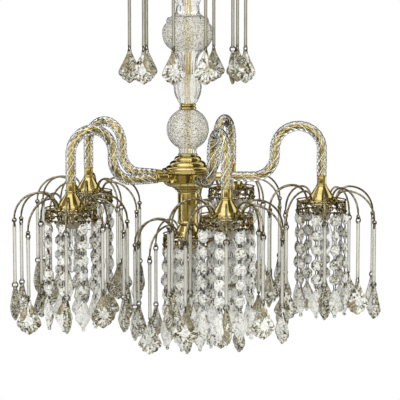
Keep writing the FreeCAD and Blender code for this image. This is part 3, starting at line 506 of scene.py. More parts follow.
def beadedLine(line, rounding):
    # takes the sharpness off every corner with a small bevel of two points
    eased = [line[0]]
    for start, (r1, z1), end in zip(line, line[1:], line[2:]):
        before, after = stretch(start, (r1, z1)), stretch((r1, z1), end)
        cut = min(rounding, before * 0.4, after * 0.4)
        if before > 1e-6 and after > 1e-6:
            eased.append((r1 + (start[0] - r1) * cut / before, z1 + (start[1] - z1) * cut / before))
            eased.append((r1 + (end[0] - r1) * cut / after, z1 + (end[1] - z1) * cut / after))
    return eased + [line[-1]]


def ringFaces(rings, sides, loop):
    # joins rings of points one after another, closed round or with a lid at both ends
    faces = []
    for i in range(rings if loop else rings - 1):
        a, b = i * sides, (i + 1) % rings * sides
        faces += [(a + j, a + (j + 1) % sides, b + (j + 1) % sides, b + j) for j in range(sides)]
    if not loop:
        faces.append(tuple(range(sides))[::-1])
        faces.append(tuple((rings - 1) * sides + j for j in range(sides)))
    return faces


def plainPart(verts, faces):
    return verts, faces, [0.0] * len(faces)


def turned(line, segments=96, loop=True, ripple=None):
    line = np.array(line, float)
    turn = np.arange(segments) * 2 * pi / segments
    r = np.repeat(line[:, :1], segments, 1)
    z = np.repeat(line[:, 1:2], segments, 1)
    if ripple:
        r = r + ripple(r, z, turn[None, :])
    verts = np.stack((r * np.cos(turn), r * np.sin(turn), z), -1).reshape(-1, 3)
    return plainPart(verts, ringFaces(len(line), segments, loop))


def swept(path, section, twist=0.0, loop=False, size=None):
    # twist is in radians per millimetre of path, size is a share of the section for each point
    path, section = np.array(path, float), np.array(section, float)
    ahead = np.roll(path, -1, 0) - np.roll(path, 1, 0)
    if not loop:
        ahead[0], ahead[-1] = path[1] - path[0], path[-1] - path[-2]
    ahead /= np.linalg.norm(ahead, axis=1)[:, None]
    side = np.cross(ahead[0], (0, 0, 1.0))
    if np.linalg.norm(side) < 0.1:
        side = np.cross(ahead[0], (0, 1.0, 0))
    verts, run = [], 0.0
    for i, spot in enumerate(path):
        side = side - ahead[i] * np.dot(side, ahead[i])
        side /= np.linalg.norm(side)
        up = np.cross(ahead[i], side)
        if i:
            run += np.linalg.norm(spot - path[i - 1])
        c, s = cos(twist * run), sin(twist * run)
        x, y = section[:, 0] * c - section[:, 1] * s, section[:, 0] * s + section[:, 1] * c
        verts.append(spot + (1.0 if size is None else size[i]) * (x[:, None] * side + y[:, None] * up))
    return plainPart(np.concatenate(verts), ringFaces(len(path), len(section), loop))


def wireRing(centre, axis, radius, wire, around=24, sides=8, longer=1.0):
    axis = Vector(axis).normalized()
    first = axis.orthogonal().normalized() if abs(axis.z) > 0.9 else Vector((0, 0, 1))
    second = axis.cross(first)
    path = [Vector(centre) + first * cos(2 * pi * k / around) * radius * longer
            + second * sin(2 * pi * k / around) * radius for k in range(around)]
    return swept(path, roundSection(wire, sides), loop=True)


def moved(part, place):
    turn = np.array(place.to_3x3())
    return np.asarray(part[0]) @ turn.T + np.array(place.translation), part[1], part[2]


def at(x, y, z):
    return Matrix.Translation((x, y, z))


def spun(degrees, axis="Z"):
    return Matrix.Rotation(radians(degrees), 4, axis)


def gathered(parts):
    verts, faces, tones, start = [], [], [], 0
    for part in parts:
        verts.append(part[0])
        faces += [tuple(i + start for i in face) for face in part[1]]
        tones += part[2]
        start += len(part[0])
    return np.concatenate(verts), faces, tones


def solidMesh(name, verts, faces):
    # a mesh whose faces look outwards
    mesh = bpy.data.meshes.new(name)
    mesh.from_pydata(np.asarray(verts).tolist(), [], faces)
    work = bmesh.new()
    work.from_mesh(mesh)
    bmesh.ops.recalc_face_normals(work, faces=work.faces)
    work.to_mesh(mesh)
    work.free()
    return mesh


def drilled(part, drills):
    # cuts round holes through a part; a drill is (centre, direction, radius, reach)
    blank = addObject("blank", solidMesh("blank", part[0], part[1]))
    bits = []
    for centre, direction, radius, reach in drills:
        way = Vector(direction).normalized() * reach
        verts, faces, _ = swept([Vector(centre) - way, Vector(centre) + way], roundSection(radius, 14))
        bits.append(addObject("bit", solidMesh("bit", verts, faces)))
        hole = blank.modifiers.new("hole", "BOOLEAN")
        hole.operation, hole.solver, hole.object = "DIFFERENCE", "EXACT", bits[-1]
    bpy.context.view_layer.update()
    done = bpy.data.meshes.new_from_object(blank.evaluated_get(bpy.context.evaluated_depsgraph_get()))
    verts = np.array([v.co for v in done.vertices], float)
    faces = [tuple(p.vertices) for p in done.polygons]
    for thing in [blank] + bits:
        bpy.data.objects.remove(thing)
    return plainPart(verts, faces)


pieces = []


def makePiece(name, parts, finish="brass", node=None, body="fixture", sharp=38):
    # sharp is the angle from which an edge stays sharp; 0 leaves every facet flat
    verts, faces, tones = gathered(parts)
    mesh = solidMesh(name, verts * mm, faces)
    mesh.attributes.new("tone", "FLOAT", "FACE").data.foreach_set("value", np.array(tones, np.float32))
    if sharp:
        mesh.shade_smooth()
        mesh.set_sharp_from_angle(angle=radians(sharp))
    mesh.materials.append(finishes[finish])
    piece = addObject(name, mesh)
    if node:
        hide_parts(node)
    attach(piece, body)
    pieces.append(piece)


def keepNodes(finish, *names):
    for name in names:
        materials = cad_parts[name].data.materials
        materials.clear()
        materials.append(finishes[finish])


# brass that is turned: the column's pieces, the arms' fittings and the cones
def withBore(line, look):
    # closes an outline into a ring section round a straight bore, with a web across it where there is one
    top, foot, bore = line[-1][1], line[0][1], look["bore"]
    inner = [(bore, top)]
    if "web" in look:
        webBore, low, high = look["web"]
        low, high = foot + low * (top - foot), foot + high * (top - foot)
        inner += [(bore, high), (webBore, high), (webBore, low), (bore, low)]
    return line + inner + [(bore, foot)]


def thinShell(line, look, skip=1):
    # an outline and the same drawn in by the wall, where a plain inside can do with fewer points
    wall, least = look["wall"], look["least"]
    return line + [(max(r - wall, least), z) for r, z in reversed(line[:-1][::skip] + line[-1:])]


def turnedBrass(name, look, places=(Matrix(),)):
    line = beadedLine(bowLine(look), look.get("rounding", 0.2))
    line = withBore(line, look) if "bore" in look else thinShell(line, look)
    part = turned(line, look.get("segments", 96))
    makePiece(name, [moved(part, place) for place in places], node=look["node"])


columnBrass = dict(
    neckRing=dict(node="neck_ring", foot=-259, height=9, radius=12.7, bore=9.5, shares=(
        (0.9, 0), (0.97, 0.05), (1, 0.24, 0.2), (0.97, 0.43, 0.2), (0.84, 0.47), (0.83, 0.53), (0.9, 0.57),
        (0.95, 0.75, 0.2), (0.9, 0.93, 0.2), (0.85, 1))),
    hubDome=dict(node="hub_dome", foot=-349.5, height=24.5, radius=38.5, bore=9, shares=(
        (0.985, 0), (1, 0.02, 0.1), (1, 0.06), (0.985, 0.075, 0.1), (0.86, 0.08), (0.865, 0.085),
        (0.715, 0.265, 0.2), (0.695, 0.27), (0.69, 0.33), (0.71, 0.335), (0.535, 0.565, 0.2), (0.515, 0.57),
        (0.51, 0.635), (0.53, 0.64), (0.385, 0.86, 0.2), (0.37, 0.865), (0.365, 0.91), (0.38, 0.915),
        (0.385, 0.955, 0.3), (0.37, 1, 0.2))),
    hubFootRing=dict(node="hub_foot_ring", foot=-382.5, height=9, radius=23, bore=15.4, shares=(
        (0.69, 0), (0.71, 0.05, 0.2), (0.715, 0.25, 0.1), (0.7, 0.31), (0.8, 0.34), (0.845, 0.42, 0.2),
        (0.845, 0.54, 0.1), (0.81, 0.62, 0.1), (0.81, 0.66), (0.95, 0.67), (1, 0.76, 0.2), (1, 0.9, 0.1),
        (0.97, 1, 0.2))),
    downTube=dict(
        node="down_tube", foot=-430.4, height=47.9, radius=15, bore=13.5, web=(5.1, 0.16, 0.2), shares=(
        (0.97, 0), (1, 0.01, 0.1), (1.04, 0.03, 0.2), (1.04, 0.07, 0.1), (1, 0.09), (0.985, 0.105),
        (1, 0.12), (1, 0.97), (0.97, 1))),
    crownCollar=dict(node="crown_collar", foot=-77, height=32.5, radius=22, bore=6, shares=(
        (0.97, 0), (1, 0.03, 0.15), (1, 0.08, 0.15), (0.95, 0.11), (0.93, 0.14), (0.95, 0.155), (0.9, 0.18),
        (0.5, 0.5, -0.1), (0.52, 0.52), (0.57, 0.54, 0.25), (0.57, 0.58, 0.25), (0.5, 0.6), (0.5, 0.63),
        (0.7, 0.9, -0.08), (0.74, 0.93), (0.76, 0.96, 0.2), (0.74, 1, 0.2))),
    crownPlate=dict(node="crown_plate", foot=-44.5, height=2.5, radius=30, bore=5.2, shares=(
        (0.95, 0), (0.985, 0.08, 0.1), (1, 0.35, 0.2), (1, 0.65, 0.1), (0.98, 0.95, 0.2), (0.93, 1))),
    hubBowl=dict(node="hub_bowl", foot=-373.5, height=24, radius=38.5, wall=1.6, least=14.5, shares=(
        (0.6, 0), (0.76, 0), (0.78, 0.015, 0.1), (0.85, 0.08, 0.05), (0.925, 0.2, 0.08),
        (0.955, 0.32, 0.06), (0.957, 0.79), (0.915, 0.8), (0.915, 0.86), (0.985, 0.865), (1, 0.9, 0.2),
        (1, 0.97, 0.2), (0.985, 1, 0.2))),
    crownCap=dict(node="crown_cap", foot=-42, height=16, radius=19, wall=1.4, least=8.3, shares=(
        (0.99, 0), (1.02, 0.05, 0.2), (1, 0.12, 0.2), (0.96, 0.15), (0.97, 0.2), (0.86, 0.46, 0.1),
        (0.83, 0.48), (0.82, 0.52), (0.5, 0.84, 0.07), (0.48, 0.87), (0.5, 0.94, 0.2), (0.5, 1))),
)
for name, look in columnBrass.items():
    turnedBrass(name, look)
keepNodes("brass", "top_loop", "crown_ring")
keepNodes("core", "arm_tubes")
keepNodes("stem", "centre_stem")
keepNodes("sprayWire", "crown_wires")
keepNodes("steel", "stem_nuts", "arm_nuts", "holder_rings")
keepNodes("ivory", "lamp_holders")
keepNodes("lead", "wiring")
print("column brass ready:", len(pieces), "pieces")

# glass of the column; body gives where the pressed surface starts and ends, in shares of the height
pressedGlass = dict(
    glassBall=dict(
        node="glass_ball", foot=-325, height=66, radius=31.8, segments=312, pitch=2.5, seed=153,
        body=(0.12, 0.17, 0.93, 0.98), shares=(
        (0.418, 0), (0.418, 0.09), (0.44, 0.13, 0.1), (1, 0.554, 0.146), (0.377, 1, 0.152))),
    glassBaluster=dict(
        node="bulb_baluster", foot=-206, height=100.5, radius=38, segments=360, pitch=2.7, seed=221,
        # a row of scallops: height and width as shares of the whole height, how many, how deep
        scallops=((0.745, 0.018, 24, 1.3), (0.83, 0.016, 24, 1.1), (0.345, 0.016, 28, 1)),
        body=(0.33, 0.37, 0.86, 0.92), shares=(
        (0.34, 0), (0.37, 0.12), (0.41, 0.24, -0.03), (0.51, 0.3, -0.04), (0.66, 0.36), (1, 0.585, 0.13),
        (0.87, 0.74, 0.11), (0.84, 0.752), (0.78, 0.83, 0.1), (0.48, 0.895, -0.1), (0.45, 1))),
    upperVase=dict(
        node="upper_vase", foot=-105.5, height=28.5, radius=20.3, segments=192, flutes=24,
        fluteDepth=0.6, body=(0.3, 0.4, 0.9, 1), shares=(
        (0.84, 0), (0.87, 0.14), (1, 0.45, 0.08), (0.92, 0.82, 0.06), (0.8, 1, 0.05))),
    lowerVase=dict(
        node="lower_vase", foot=-250, height=44, radius=20.9, segments=192, flutes=16,
        fluteDepth=0.7, body=(0.1, 0.3, 0.7, 0.95), shares=(
        (0.575, 0), (0.8, 0.18, 0.06), (0.985, 0.45, 0.06), (1, 0.73, 0.03), (0.88, 0.87, 0.08),
        (0.62, 1, 0.08))),
)
pressedWork = dict(
    wall=3.2, least=7, step=0.85, knobDepth=0.7, neckLobes=14, neckDepth=0.3, vaseFrost=0.5,
    # knobs: distance between rows, how far one stands off its place and its reach, in pitches, and its lift
    rows=0.8, play=0.3, reach=0.62, lift=(0.55, 1),
    # how dark a knob is, up to each share of them, how unevenly, and what its side loses and the painted
    # shade of the net between knobs adds
    shades=((0.7, 0), (0.87, 0.3), (1, 0.85)), uneven=0.15, side=0.5, net=0.25,
    # how round the flutes and scallops are, and the dark streaks of a vase
    flutePower=1.5, scallopPower=0.8, scallopFoot=0.85,
    streakEvery=5, streakSeed=197, streakLength=(4, 12), streakPlay=3)


def smoothStep(low, high, x):
    t = np.clip((x - low) / (high - low), 0, 1)
    return t * t * (3 - 2 * t)


def pressedCells(outer, look):
    # knobs on a diamond net round the body, each pushed a little off its place: how far every point of the
    # surface is raised by its nearest knob, and how dark it is, with painted shade in the net between knobs
    work, pitch = pressedWork, look["pitch"]
    play, reach = work["play"], pitch * work["reach"]
    grain = np.random.RandomState(look["seed"])
    run = np.cumsum([0] + [stretch(a, b) for a, b in zip(outer, outer[1:])])
    knobs = []
    for row, height in enumerate(np.arange(0, run[-1], pitch * work["rows"])):
        r = np.interp(height, run, [q[0] for q in outer])
        z = np.interp(height, run, [q[1] for q in outer])
        around = max(6, round(2 * pi * r / pitch))
        for k in range(around):
            turn = 2 * pi * (k + 0.5 * (row % 2) + grain.uniform(-play, play)) / around
            knobs.append((r * cos(turn), r * sin(turn), z + grain.uniform(-play, play) * pitch))
    net = KDTree(len(knobs))
    for k, knob in enumerate(knobs):
        net.insert(knob, k)
    net.balance()
    pick = grain.uniform(0, 1, len(knobs))
    shares, darks = zip(*work["shades"])
    shade = np.select([pick < share for share in shares], darks)
    shade = shade + grain.uniform(0, work["uneven"], len(knobs))
    lift = grain.uniform(*work["lift"], len(knobs))
    segments = look["segments"]
    away, tone = np.zeros((len(outer), segments)), np.zeros((len(outer), segments))
    for i, (r, z) in enumerate(outer):
        for j in range(segments):
            turn = 2 * pi * j / segments
            _, k, distance = net.find((r * cos(turn), r * sin(turn), z))
            share = min(1.0, distance / reach)
            away[i, j] = lift[k] * (1 - share ** 2)
            # painted shade: the net between the knobs is darker
            tone[i, j] = min(1.0, shade[k] * (1 - work["side"] * share) + work["net"] * share ** 3)
    return away, tone


def pressedPiece(name, look):
    work = pressedWork
    outer = fineLine(bowLine(look, 24), work["step"])
    line = thinShell(outer, work, 3)
    outerCount, segments = len(outer), look["segments"]
    knobbed = "pitch" in look
    if knobbed:
        lift, shade = pressedCells(outer, look)

    def bodyShare(z):
        a, b, c, d = look["body"]
        share = (z - look["foot"]) / look["height"]
        return share, smoothStep(a, b, share) * (1 - smoothStep(c, d, share))

    def ripple(r, z, turn):
        share, onBody = bodyShare(z)
        push = np.zeros_like(r)
        if knobbed:
            push[:outerCount] += onBody[:outerCount] * work["knobDepth"] * (lift - 1)
            push -= (1 - onBody) * work["neckDepth"] * (0.5 - 0.5 * np.cos(work["neckLobes"] * turn))
        else:
            flute = np.abs(np.sin(look["flutes"] / 2 * turn)) ** work["flutePower"]
            push -= onBody * look["fluteDepth"] * flute
        for spot, width, lobes, depth in look.get("scallops", ()):
            ring = np.exp(-((share - spot) / width) ** 2)
            wave = np.abs(np.cos(lobes / 2 * turn)) ** work["scallopPower"]
            push += ring * depth * (wave - work["scallopFoot"])
        push[outerCount:] = 0
        return push

    verts, faces, _ = turned(line, segments, ripple=ripple)
    frost = bodyShare(np.array([z for r, z in line]))[1] * (1.0 if knobbed else work["vaseFrost"])
    tones = np.repeat(0.5 * frost[:, None], segments, 1)
    tones[outerCount:] = 0        # the inside is plain clear glass
    if knobbed:
        tones[:outerCount] += 0.5 * shade * (frost[:outerCount, None] > 0.9)
    else:
        # narrow dark streaks in the flutes of a clear piece, each over a stretch of its height
        grain = np.random.RandomState(work["streakSeed"])
        for j in range(0, segments, work["streakEvery"]):
            start = grain.randint(0, outerCount)
            end = start + grain.randint(*work["streakLength"])
            tones[start:end, (j + grain.randint(0, work["streakPlay"])) % segments] = 1.0
    makePiece(name, [(verts, faces, tones.ravel().tolist())], "pressed", look["node"], sharp=70)


for name, look in pressedGlass.items():
    pressedPiece(name, look)
print("pressed glass ready")

# the lamps hang from the ends of the glass arms, which lie this far above the bulbs
bulbDrop = 44
lampSpots = []
for k in range(6):
    low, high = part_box("bulb_%d" % (k + 1))
    middle = (low + high) / 2
    lampSpots.append(Vector((middle.x / mm, middle.y / mm, high.z / mm + bulbDrop)))
lampPlaces = [at(*spot) for spot in lampSpots]
armTurns = [0, 72, 144, 216, 288]

# arms: clear glass rope with painted dark shade lines in its grooves and painted white highlight lines
# beside them
armRope = dict(line=-359, start=60, reach=200, bend=32, arch=35, rise=41,
               end=2.5, radius=7.7, bore=4.2, lobes=8, lobeDepth=0.6, lobeSteps=10,
               turnLength=78, step=1.6, ends=(0.93, 0.955, 0.98),
               # painted dark shade lines and white highlight lines by their steps of a lobe; their strength
               # goes up and down in waves
               dark=(4, 5), white=(6, 7), strength=0.7, waver=0.3, wave=0.13, offset=1.9)


def armPath():
    look = armRope
    bend, arch, rise = look["bend"], look["arch"], look["rise"]
    turnAt = look["reach"] - 2 * arch - bend
    crest = turnAt + bend + arch
    points = [(look["start"], 0.0), (turnAt, 0.0)]
    points += [(turnAt + bend * sin(t), bend - bend * cos(t)) for t in np.linspace(0, pi / 2, 32)[1:]]
    points.append((turnAt + bend, rise))
    points += [(crest - arch * cos(t), rise + arch * sin(t)) for t in np.linspace(0, pi, 70)[1:]]
    points.append((look["reach"], look["end"]))
    return [(r, 0.0, look["line"] + z) for r, z in fineLine(points, look["step"])]


def armSleeve():
    look = armRope
    path = armPath()
    lobes, steps = look["lobes"], look["lobeSteps"]
    around, twist = lobes * steps, 2 * pi / look["turnLength"]
    section = []
    for k in range(around):
        turn = 2 * pi * k / around
        r = look["radius"] - look["lobeDepth"] * (1 - abs(cos(lobes * turn / 2)))
        section.append((r * cos(turn), r * sin(turn)))
    size = list(look["ends"]) + [1.0] * (len(path) - 2 * len(look["ends"])) + list(look["ends"][::-1])
    outer = swept(path, section, twist, size=size)
    inner = swept(path, roundSection(look["bore"], around), twist)
    count, last = len(outer[0]), (len(path) - 1) * around
    faces = outer[1][:-2] + [tuple(i + count for i in reversed(face)) for face in inner[1][:-2]]
    for k in range(around):
        n = (k + 1) % around
        faces.append((k, n, n + count, k + count))
        faces.append((last + k, last + k + count, last + n + count, last + n))
    tones = [0.0] * len(faces)
    # painted shade in the grooves and painted highlights beside them, as tones of the faces
    for n in range(last):
        lobe, part = divmod(n % around, steps)
        wave = sin(look["wave"] * (n // around) + look["offset"] * lobe)
        strong = look["strength"] + look["waver"] * wave
        if part in look["dark"]:
            tones[n] = 0.5 + 0.5 * strong       # in the groove between two lobes
        elif part in look["white"] and lobe % 2:
            tones[n] = 0.5 * strong             # beside it, at every other lobe
    return np.concatenate((outer[0], inner[0])), faces, tones


sleeve = armSleeve()
for k, turn in enumerate(armTurns, start=1):
    makePiece("armGlass_%d" % k, [moved(sleeve, spun(turn))], "rope", "arm_glass_%d" % k, sharp=60)

ferruleLook = dict(
    node="arm_ferrules", start=34.5, height=25.5, radius=6.6, bore=4.3, segments=48,
    rounding=0.15, shares=(
        (1, 0), (1.02, 0.04), (1.02, 0.13), (0.93, 0.15), (0.92, 0.72), (0.88, 0.74), (1.04, 0.76),
        (1.1, 0.8, 0.2), (1.04, 0.84, 0.1), (0.84, 0.85), (0.84, 0.9), (1.06, 0.91), (1.12, 0.955, 0.2),
        (1.06, 1, 0.1)))
lying = at(ferruleLook["start"], 0, armRope["line"]) @ spun(90, "Y")
turnedBrass("armFerrules", ferruleLook, [spun(turn) @ lying for turn in armTurns])
endCollarLook = dict(
    node="end_collars", foot=-14.3, height=14.3, radius=7.2, bore=4.3, segments=48,
    rounding=0.15, shares=(
        (0.94, 0), (1.02, 0.03, 0.15), (1.02, 0.1, 0.15), (0.95, 0.13), (0.97, 0.16), (0.97, 0.84),
        (0.95, 0.86), (1.02, 0.89, 0.1), (1.04, 0.93, 0.2), (1.02, 0.97, 0.2), (0.96, 1)))
turnedBrass("armCollars", endCollarLook, lampPlaces[:5])
print("arms ready")

coneLook = dict(
    node="cones", foot=-40.5, height=26.2, radius=21, wall=1.2, least=4.6, shares=(
        (0.985, 0), (1, 0.03, 0.2), (1, 0.08, 0.2), (0.97, 0.11), (0.955, 0.15), (0.97, 0.165),
        (0.945, 0.19), (0.85, 0.36, 0.1), (0.4, 0.9), (0.385, 0.92), (0.4, 0.94, 0.2), (0.385, 0.965, 0.2),
        (0.36, 0.98), (0.36, 1)))
turnedBrass("lampCones", coneLook, lampPlaces)

# the arched wires of a lamp: shares of the rise, degrees off an even spacing, the way each drop faces
wireBend = dict(start=23.2, foot=-38, root=2.4, reach=59, rise=20, wire=1.5,
                turn=17.65, eye=2.6, eyeWire=1.15, taper=(0.97, 0.93, 0.88, 0.8),
                shares=(1, 0.82, 1.16, 0.9, 1.08, 1.2, 0.86, 1, 1.12, 0.8),
                stray=(0, 3, -2, 4, -3, 1, -4, 2, 3, -1),
                facing=(8, 34, -52, 18, 66, -26, 40, -70, -14, 48))
wireTurns = [wireBend["turn"] + 36.0 * k + stray for k, stray in enumerate(wireBend["stray"])]

# the rim runs up the outside: millimetres from the outer radius, share of the height
collarLook = dict(inner=21.3, outer=25.1, foot=-40.5, height=2.5, rounding=0.15,
                  rim=((-0.3, 0), (0, 0.15), (0, 0.4), (-0.5, 0.5), (0, 0.6), (0, 0.85), (-0.3, 1)),
                  socket=2.05, socketFoot=1, socketHeight=4.2, thimble=(
        (0.9, 0), (1, 0.1), (1, 0.35), (0.86, 0.45), (0.86, 0.6), (0.98, 0.7), (0.95, 0.9), (0.72, 1)))


def sprayCollar():
    # a ring with a socket for each wire
    look = collarLook
    foot, height = look["foot"], look["height"]
    line = [(look["inner"], foot)] + [(look["outer"] + r, foot + s * height) for r, s in look["rim"]]
    parts = [turned(beadedLine(line + [(look["inner"], foot + height)], look["rounding"]))]
    thimble = [(r * look["socket"], look["socketFoot"] + s * look["socketHeight"])
               for r, s in look["thimble"]]
    for turn in wireTurns:
        parts.append(moved(turned(thimble, 20, False), spun(turn) @ at(wireBend["start"], 0, foot)))
    return gathered(parts)


def onLamps(part):
    return [moved(part, place) for place in lampPlaces]


makePiece("sprayCollars", onLamps(sprayCollar()), node="spray_collars")


def archedWire(rise):
    # up in a quarter circle, over and down in a wider one to the eye
    look = wireBend
    start, foot, fall = look["start"], look["foot"], look["reach"] - rise
    over, low = start + rise, foot + rise - fall
    path = [(start, 0, foot - look["root"])]
    path += [(over - rise * cos(t), 0, foot + rise * sin(t)) for t in np.linspace(0, pi / 2, 14)]
    path += [(over + fall * sin(t), 0, low + fall * cos(t)) for t in np.linspace(0, pi / 2, 28)[1:]]
    size = [1.0] * (len(path) - len(look["taper"])) + list(look["taper"])
    eye = wireRing((start + look["reach"], 0, low - look["eye"]), (0, 1, 0), look["eye"], look["eyeWire"])
    return gathered([swept(path, roundSection(look["wire"], 10), size=size), eye])


wires = [moved(archedWire(wireBend["rise"] * share), spun(turn))
         for share, turn in zip(wireBend["shares"], wireTurns)]
makePiece("sprayWires", onLamps(gathered(wires)), "sprayWire", "spray_wires", sharp=60)

galleryLook = dict(
    radius=36.4, foot=-52.8, bays=18, floor=(-42.1, -40.5), bands=((12.3, 17), (20.6, 25.6)), rounding=0.3,
    # height, millimetres off the radius, wire, sides of the wire
    rims=((-37, 0.1, 1.05, 8), (-40.4, -0.2, 0.75, 6), (-52.8, 0, 1.05, 8)),
    # a scroll: its place in a bay, how far it turns, how its ends curl in, its wire's size at the ends and
    # what the middle adds
    scroll=dict(reach=3.3, height=9.5, middle=-46.45, wire=0.85, place=0.25, sweep=1.25, curl=2.2,
                tighter=0.9, closer=0.62, aside=0.6, narrow=0.8, lean=0.15, lift=0.18, size=(0.75, 0.5)),
    # a spoke's or leaf's places along its length, its sizes there and the half of its section
    spoke=((14, 20, 26, 30, 33, 36.2), (0.8, 0.8, 0.9, 1.35, 1, 0.8), (1.3, 0.6, 0.9)),
    leaf=((0.5, 3, 6, 9, 12), (0.5, 1.5, 1, 1.4, 0.4), (0.9, 0.35, 0.7, 0.3)),
    point=((-0.1, 0.15, 0.45, 0.75, 1), (0.9, 1, 0.75, 0.42, 0.08), (0.5, 0.9, 0.4)),
    # length and half width of the hanging points, by bay and between bays
    points=((4.4, 2.4), (2.86, 1.8)))


def onDrum(radius, across, height):
    return (radius * cos(across / radius), radius * sin(across / radius), height)


def roofSection(half, eaves, ridge, back):
    return [(half, eaves), (0, ridge), (-half, eaves), (-half, -back), (half, -back)]


def scroll(middle, side):
    # one C scroll that curls in at both ends, drawn on the drum
    look, points, steps = galleryLook["scroll"], [], np.linspace(-1, 1, 27)
    reach, (thin, more) = look["reach"], look["size"]
    for t in steps:
        curl = abs(t) ** look["curl"]
        turn = side * (pi / 2) * t * look["sweep"] * (1 + look["tighter"] * curl)
        r = reach * (1 - look["closer"] * curl)
        across = middle + side * (reach * look["aside"] - r * cos(turn) * look["narrow"])
        across += side * reach * look["lean"] * curl
        rise = np.sign(t) * (curl * look["height"] * look["lift"] + r * sin(abs(turn)))
        points.append(onDrum(galleryLook["radius"], across, look["middle"] + rise))
    return swept(points, roundSection(look["wire"], 6), size=[thin + more * (1 - abs(t)) for t in steps])


def galleryWork():
    look = galleryLook
    radius, foot, (low, high) = look["radius"], look["foot"], look["floor"]
    bay = 2 * pi * radius / look["bays"]
    parts = [wireRing((0, 0, z), (0, 0, 1), radius + off, wire, 96, sides)
             for z, off, wire, sides in look["rims"]]
    # pierced floor: two bands joined by spokes that swell to a leaf in the middle
    for r0, r1 in look["bands"]:
        band = beadedLine([(r0, low), (r1, low), (r1, high), (r0, high), (r0, low)], look["rounding"])
        parts.append(turned(band[:-1], 72))
    for k in range(look["bays"]):
        turn = 2 * pi * (k + 0.5) / look["bays"]
        spots, size, (half, eaves, ridge) = look["spoke"]
        section = roofSection(half, eaves, ridge, eaves)
        section.insert(4, (0, -ridge))
        spoke = [(r * cos(turn), r * sin(turn), (low + high) / 2 + 0.1) for r in spots]
        parts.append(swept(spoke, section, size=size))
        middle = k * bay
        for side in (-1, 1):
            parts.append(scroll(middle + side * bay * look["scroll"]["place"], side))
        # a small upright leaf between the scrolls
        spots, size, sizes = look["leaf"]
        leaf = [onDrum(radius + 0.2, middle + bay / 2, foot + s) for s in spots]
        parts.append(swept(leaf, roofSection(*sizes), size=size))
        # hanging points under the lower ring, long and short in turn
        spots, size, sizes = look["point"]
        for spot, (length, width) in zip((middle, middle + bay / 2), look["points"]):
            point = [onDrum(radius + 0.1, spot, foot - length * s) for s in spots]
            parts.append(swept(point, roofSection(width, *sizes), size=size))
    return gathered(parts)


galleryPart = galleryWork()
for k, place in enumerate(lampPlaces, start=1):
    makePiece("gallery_%d" % k, [moved(galleryPart, place)], "darkBrass", "galleries")
print("lamps' brass ready:", len(pieces), "pieces")


# cut crystal
def cutStone(outline, middle, look):
    # rows of diamond facets from a flat edge band up to a table, on both faces; the stone faces along Y
    outline = np.array(outline, float) - (0, middle)
    count, levels, edge = len(outline), look["levels"], look["edge"]
    between = (outline + np.roll(outline, -1, 0)) / 2
    verts, faces = [], []
    for way in (-1, 1):
        for j in range(levels + 1):
            share = j / levels
            depth = edge / 2 + (look["thickness"] - edge) / 2 * share ** 0.75
            ring = (between if j % 2 else outline) * (1 - (1 - look["table"]) * share)
            verts.append(np.stack((ring[:, 0], np.full(count, way * depth), ring[:, 1] + middle), -1))
    side = (levels + 1) * count

    for start in (0, side):
        def spot(j, k):
            return start + j * count + k % count

        for k in range(count):
            faces.append((spot(0, k), spot(0, k + 1), spot(1, k)))
            for j in range(1, levels):
                n = k + 1 - j % 2
                faces.append((spot(j - 1, k), spot(j, n), spot(j + 1, k), spot(j, n - 1)))
            n = k + 1 - levels % 2
            faces.append((spot(levels, n - 1), spot(levels, n), spot(levels - 1, k)))
        faces.append(tuple(spot(levels, k) for k in range(count)))
    for k in range(count):
        n = (k + 1) % count
        faces.append((k, n, side + n, side + k))
    return plainPart(np.concatenate(verts), faces)


def cutDrop(look):
    # shares run down the right side of the outline: half the width, height
    right = [(r * look["width"] / 2, look["top"] - z * look["height"]) for r, z in look["shares"]]
    outline = right + [(-x, z) for x, z in reversed(right) if x > 0]
    return cutStone(outline, look["top"] - look["middle"] * look["height"], look)


# by kind of facet the shares that are clear, middling and dark, which paint reflections and shade on the
# facets, then the tones of these and of a fan, and how far out, as shares of half the thickness, a table
# and an inner facet lie
# rim facets, at the stone's edge, are mostly dark, as painted shade
facetPlay = dict(table=(0.85, 0.13, 0.02), inner=(0.66, 0.2, 0.14), outer=(0.5, 0.26, 0.24),
                 rim=(0.2, 0.3, 0.5), ball=(0.25, 0.25, 0.5), tones=((0, 0.36), (0.45, 0.7), (0.8, 1)),
                 fanTone=(1.66, 1.79), fanWidth=(0.35, 0.8), tableOut=0.9, flat=0.03, innerOut=0.62)


def facetKinds(part, ballBelow=-999):
    # by how far a facet faces along Y and how deep in the stone it lies, with its turn round the middle
    verts = np.asarray(part[0])
    deep = np.abs(verts[:, 1]).max()
    middle = (verts[:, 2].max() + verts[:, 2].min()) / 2
    kinds = []
    for face in part[1]:
        spots = verts[list(face)]
        far = np.abs(spots[:, 1]).mean() / deep
        if spots[:, 2].mean() < ballBelow:
            kind = "ball"
        elif spots[:, 1].min() < 0 < spots[:, 1].max():
            kind = "rim"
        elif far > facetPlay["tableOut"] and np.ptp(spots[:, 1]) < facetPlay["flat"]:
            kind = "table"
        else:
            kind = "inner" if far > facetPlay["innerOut"] else "outer"
        kinds.append((kind, atan2(spots[:, 2].mean() - middle, spots[:, 0].mean())))
    return kinds


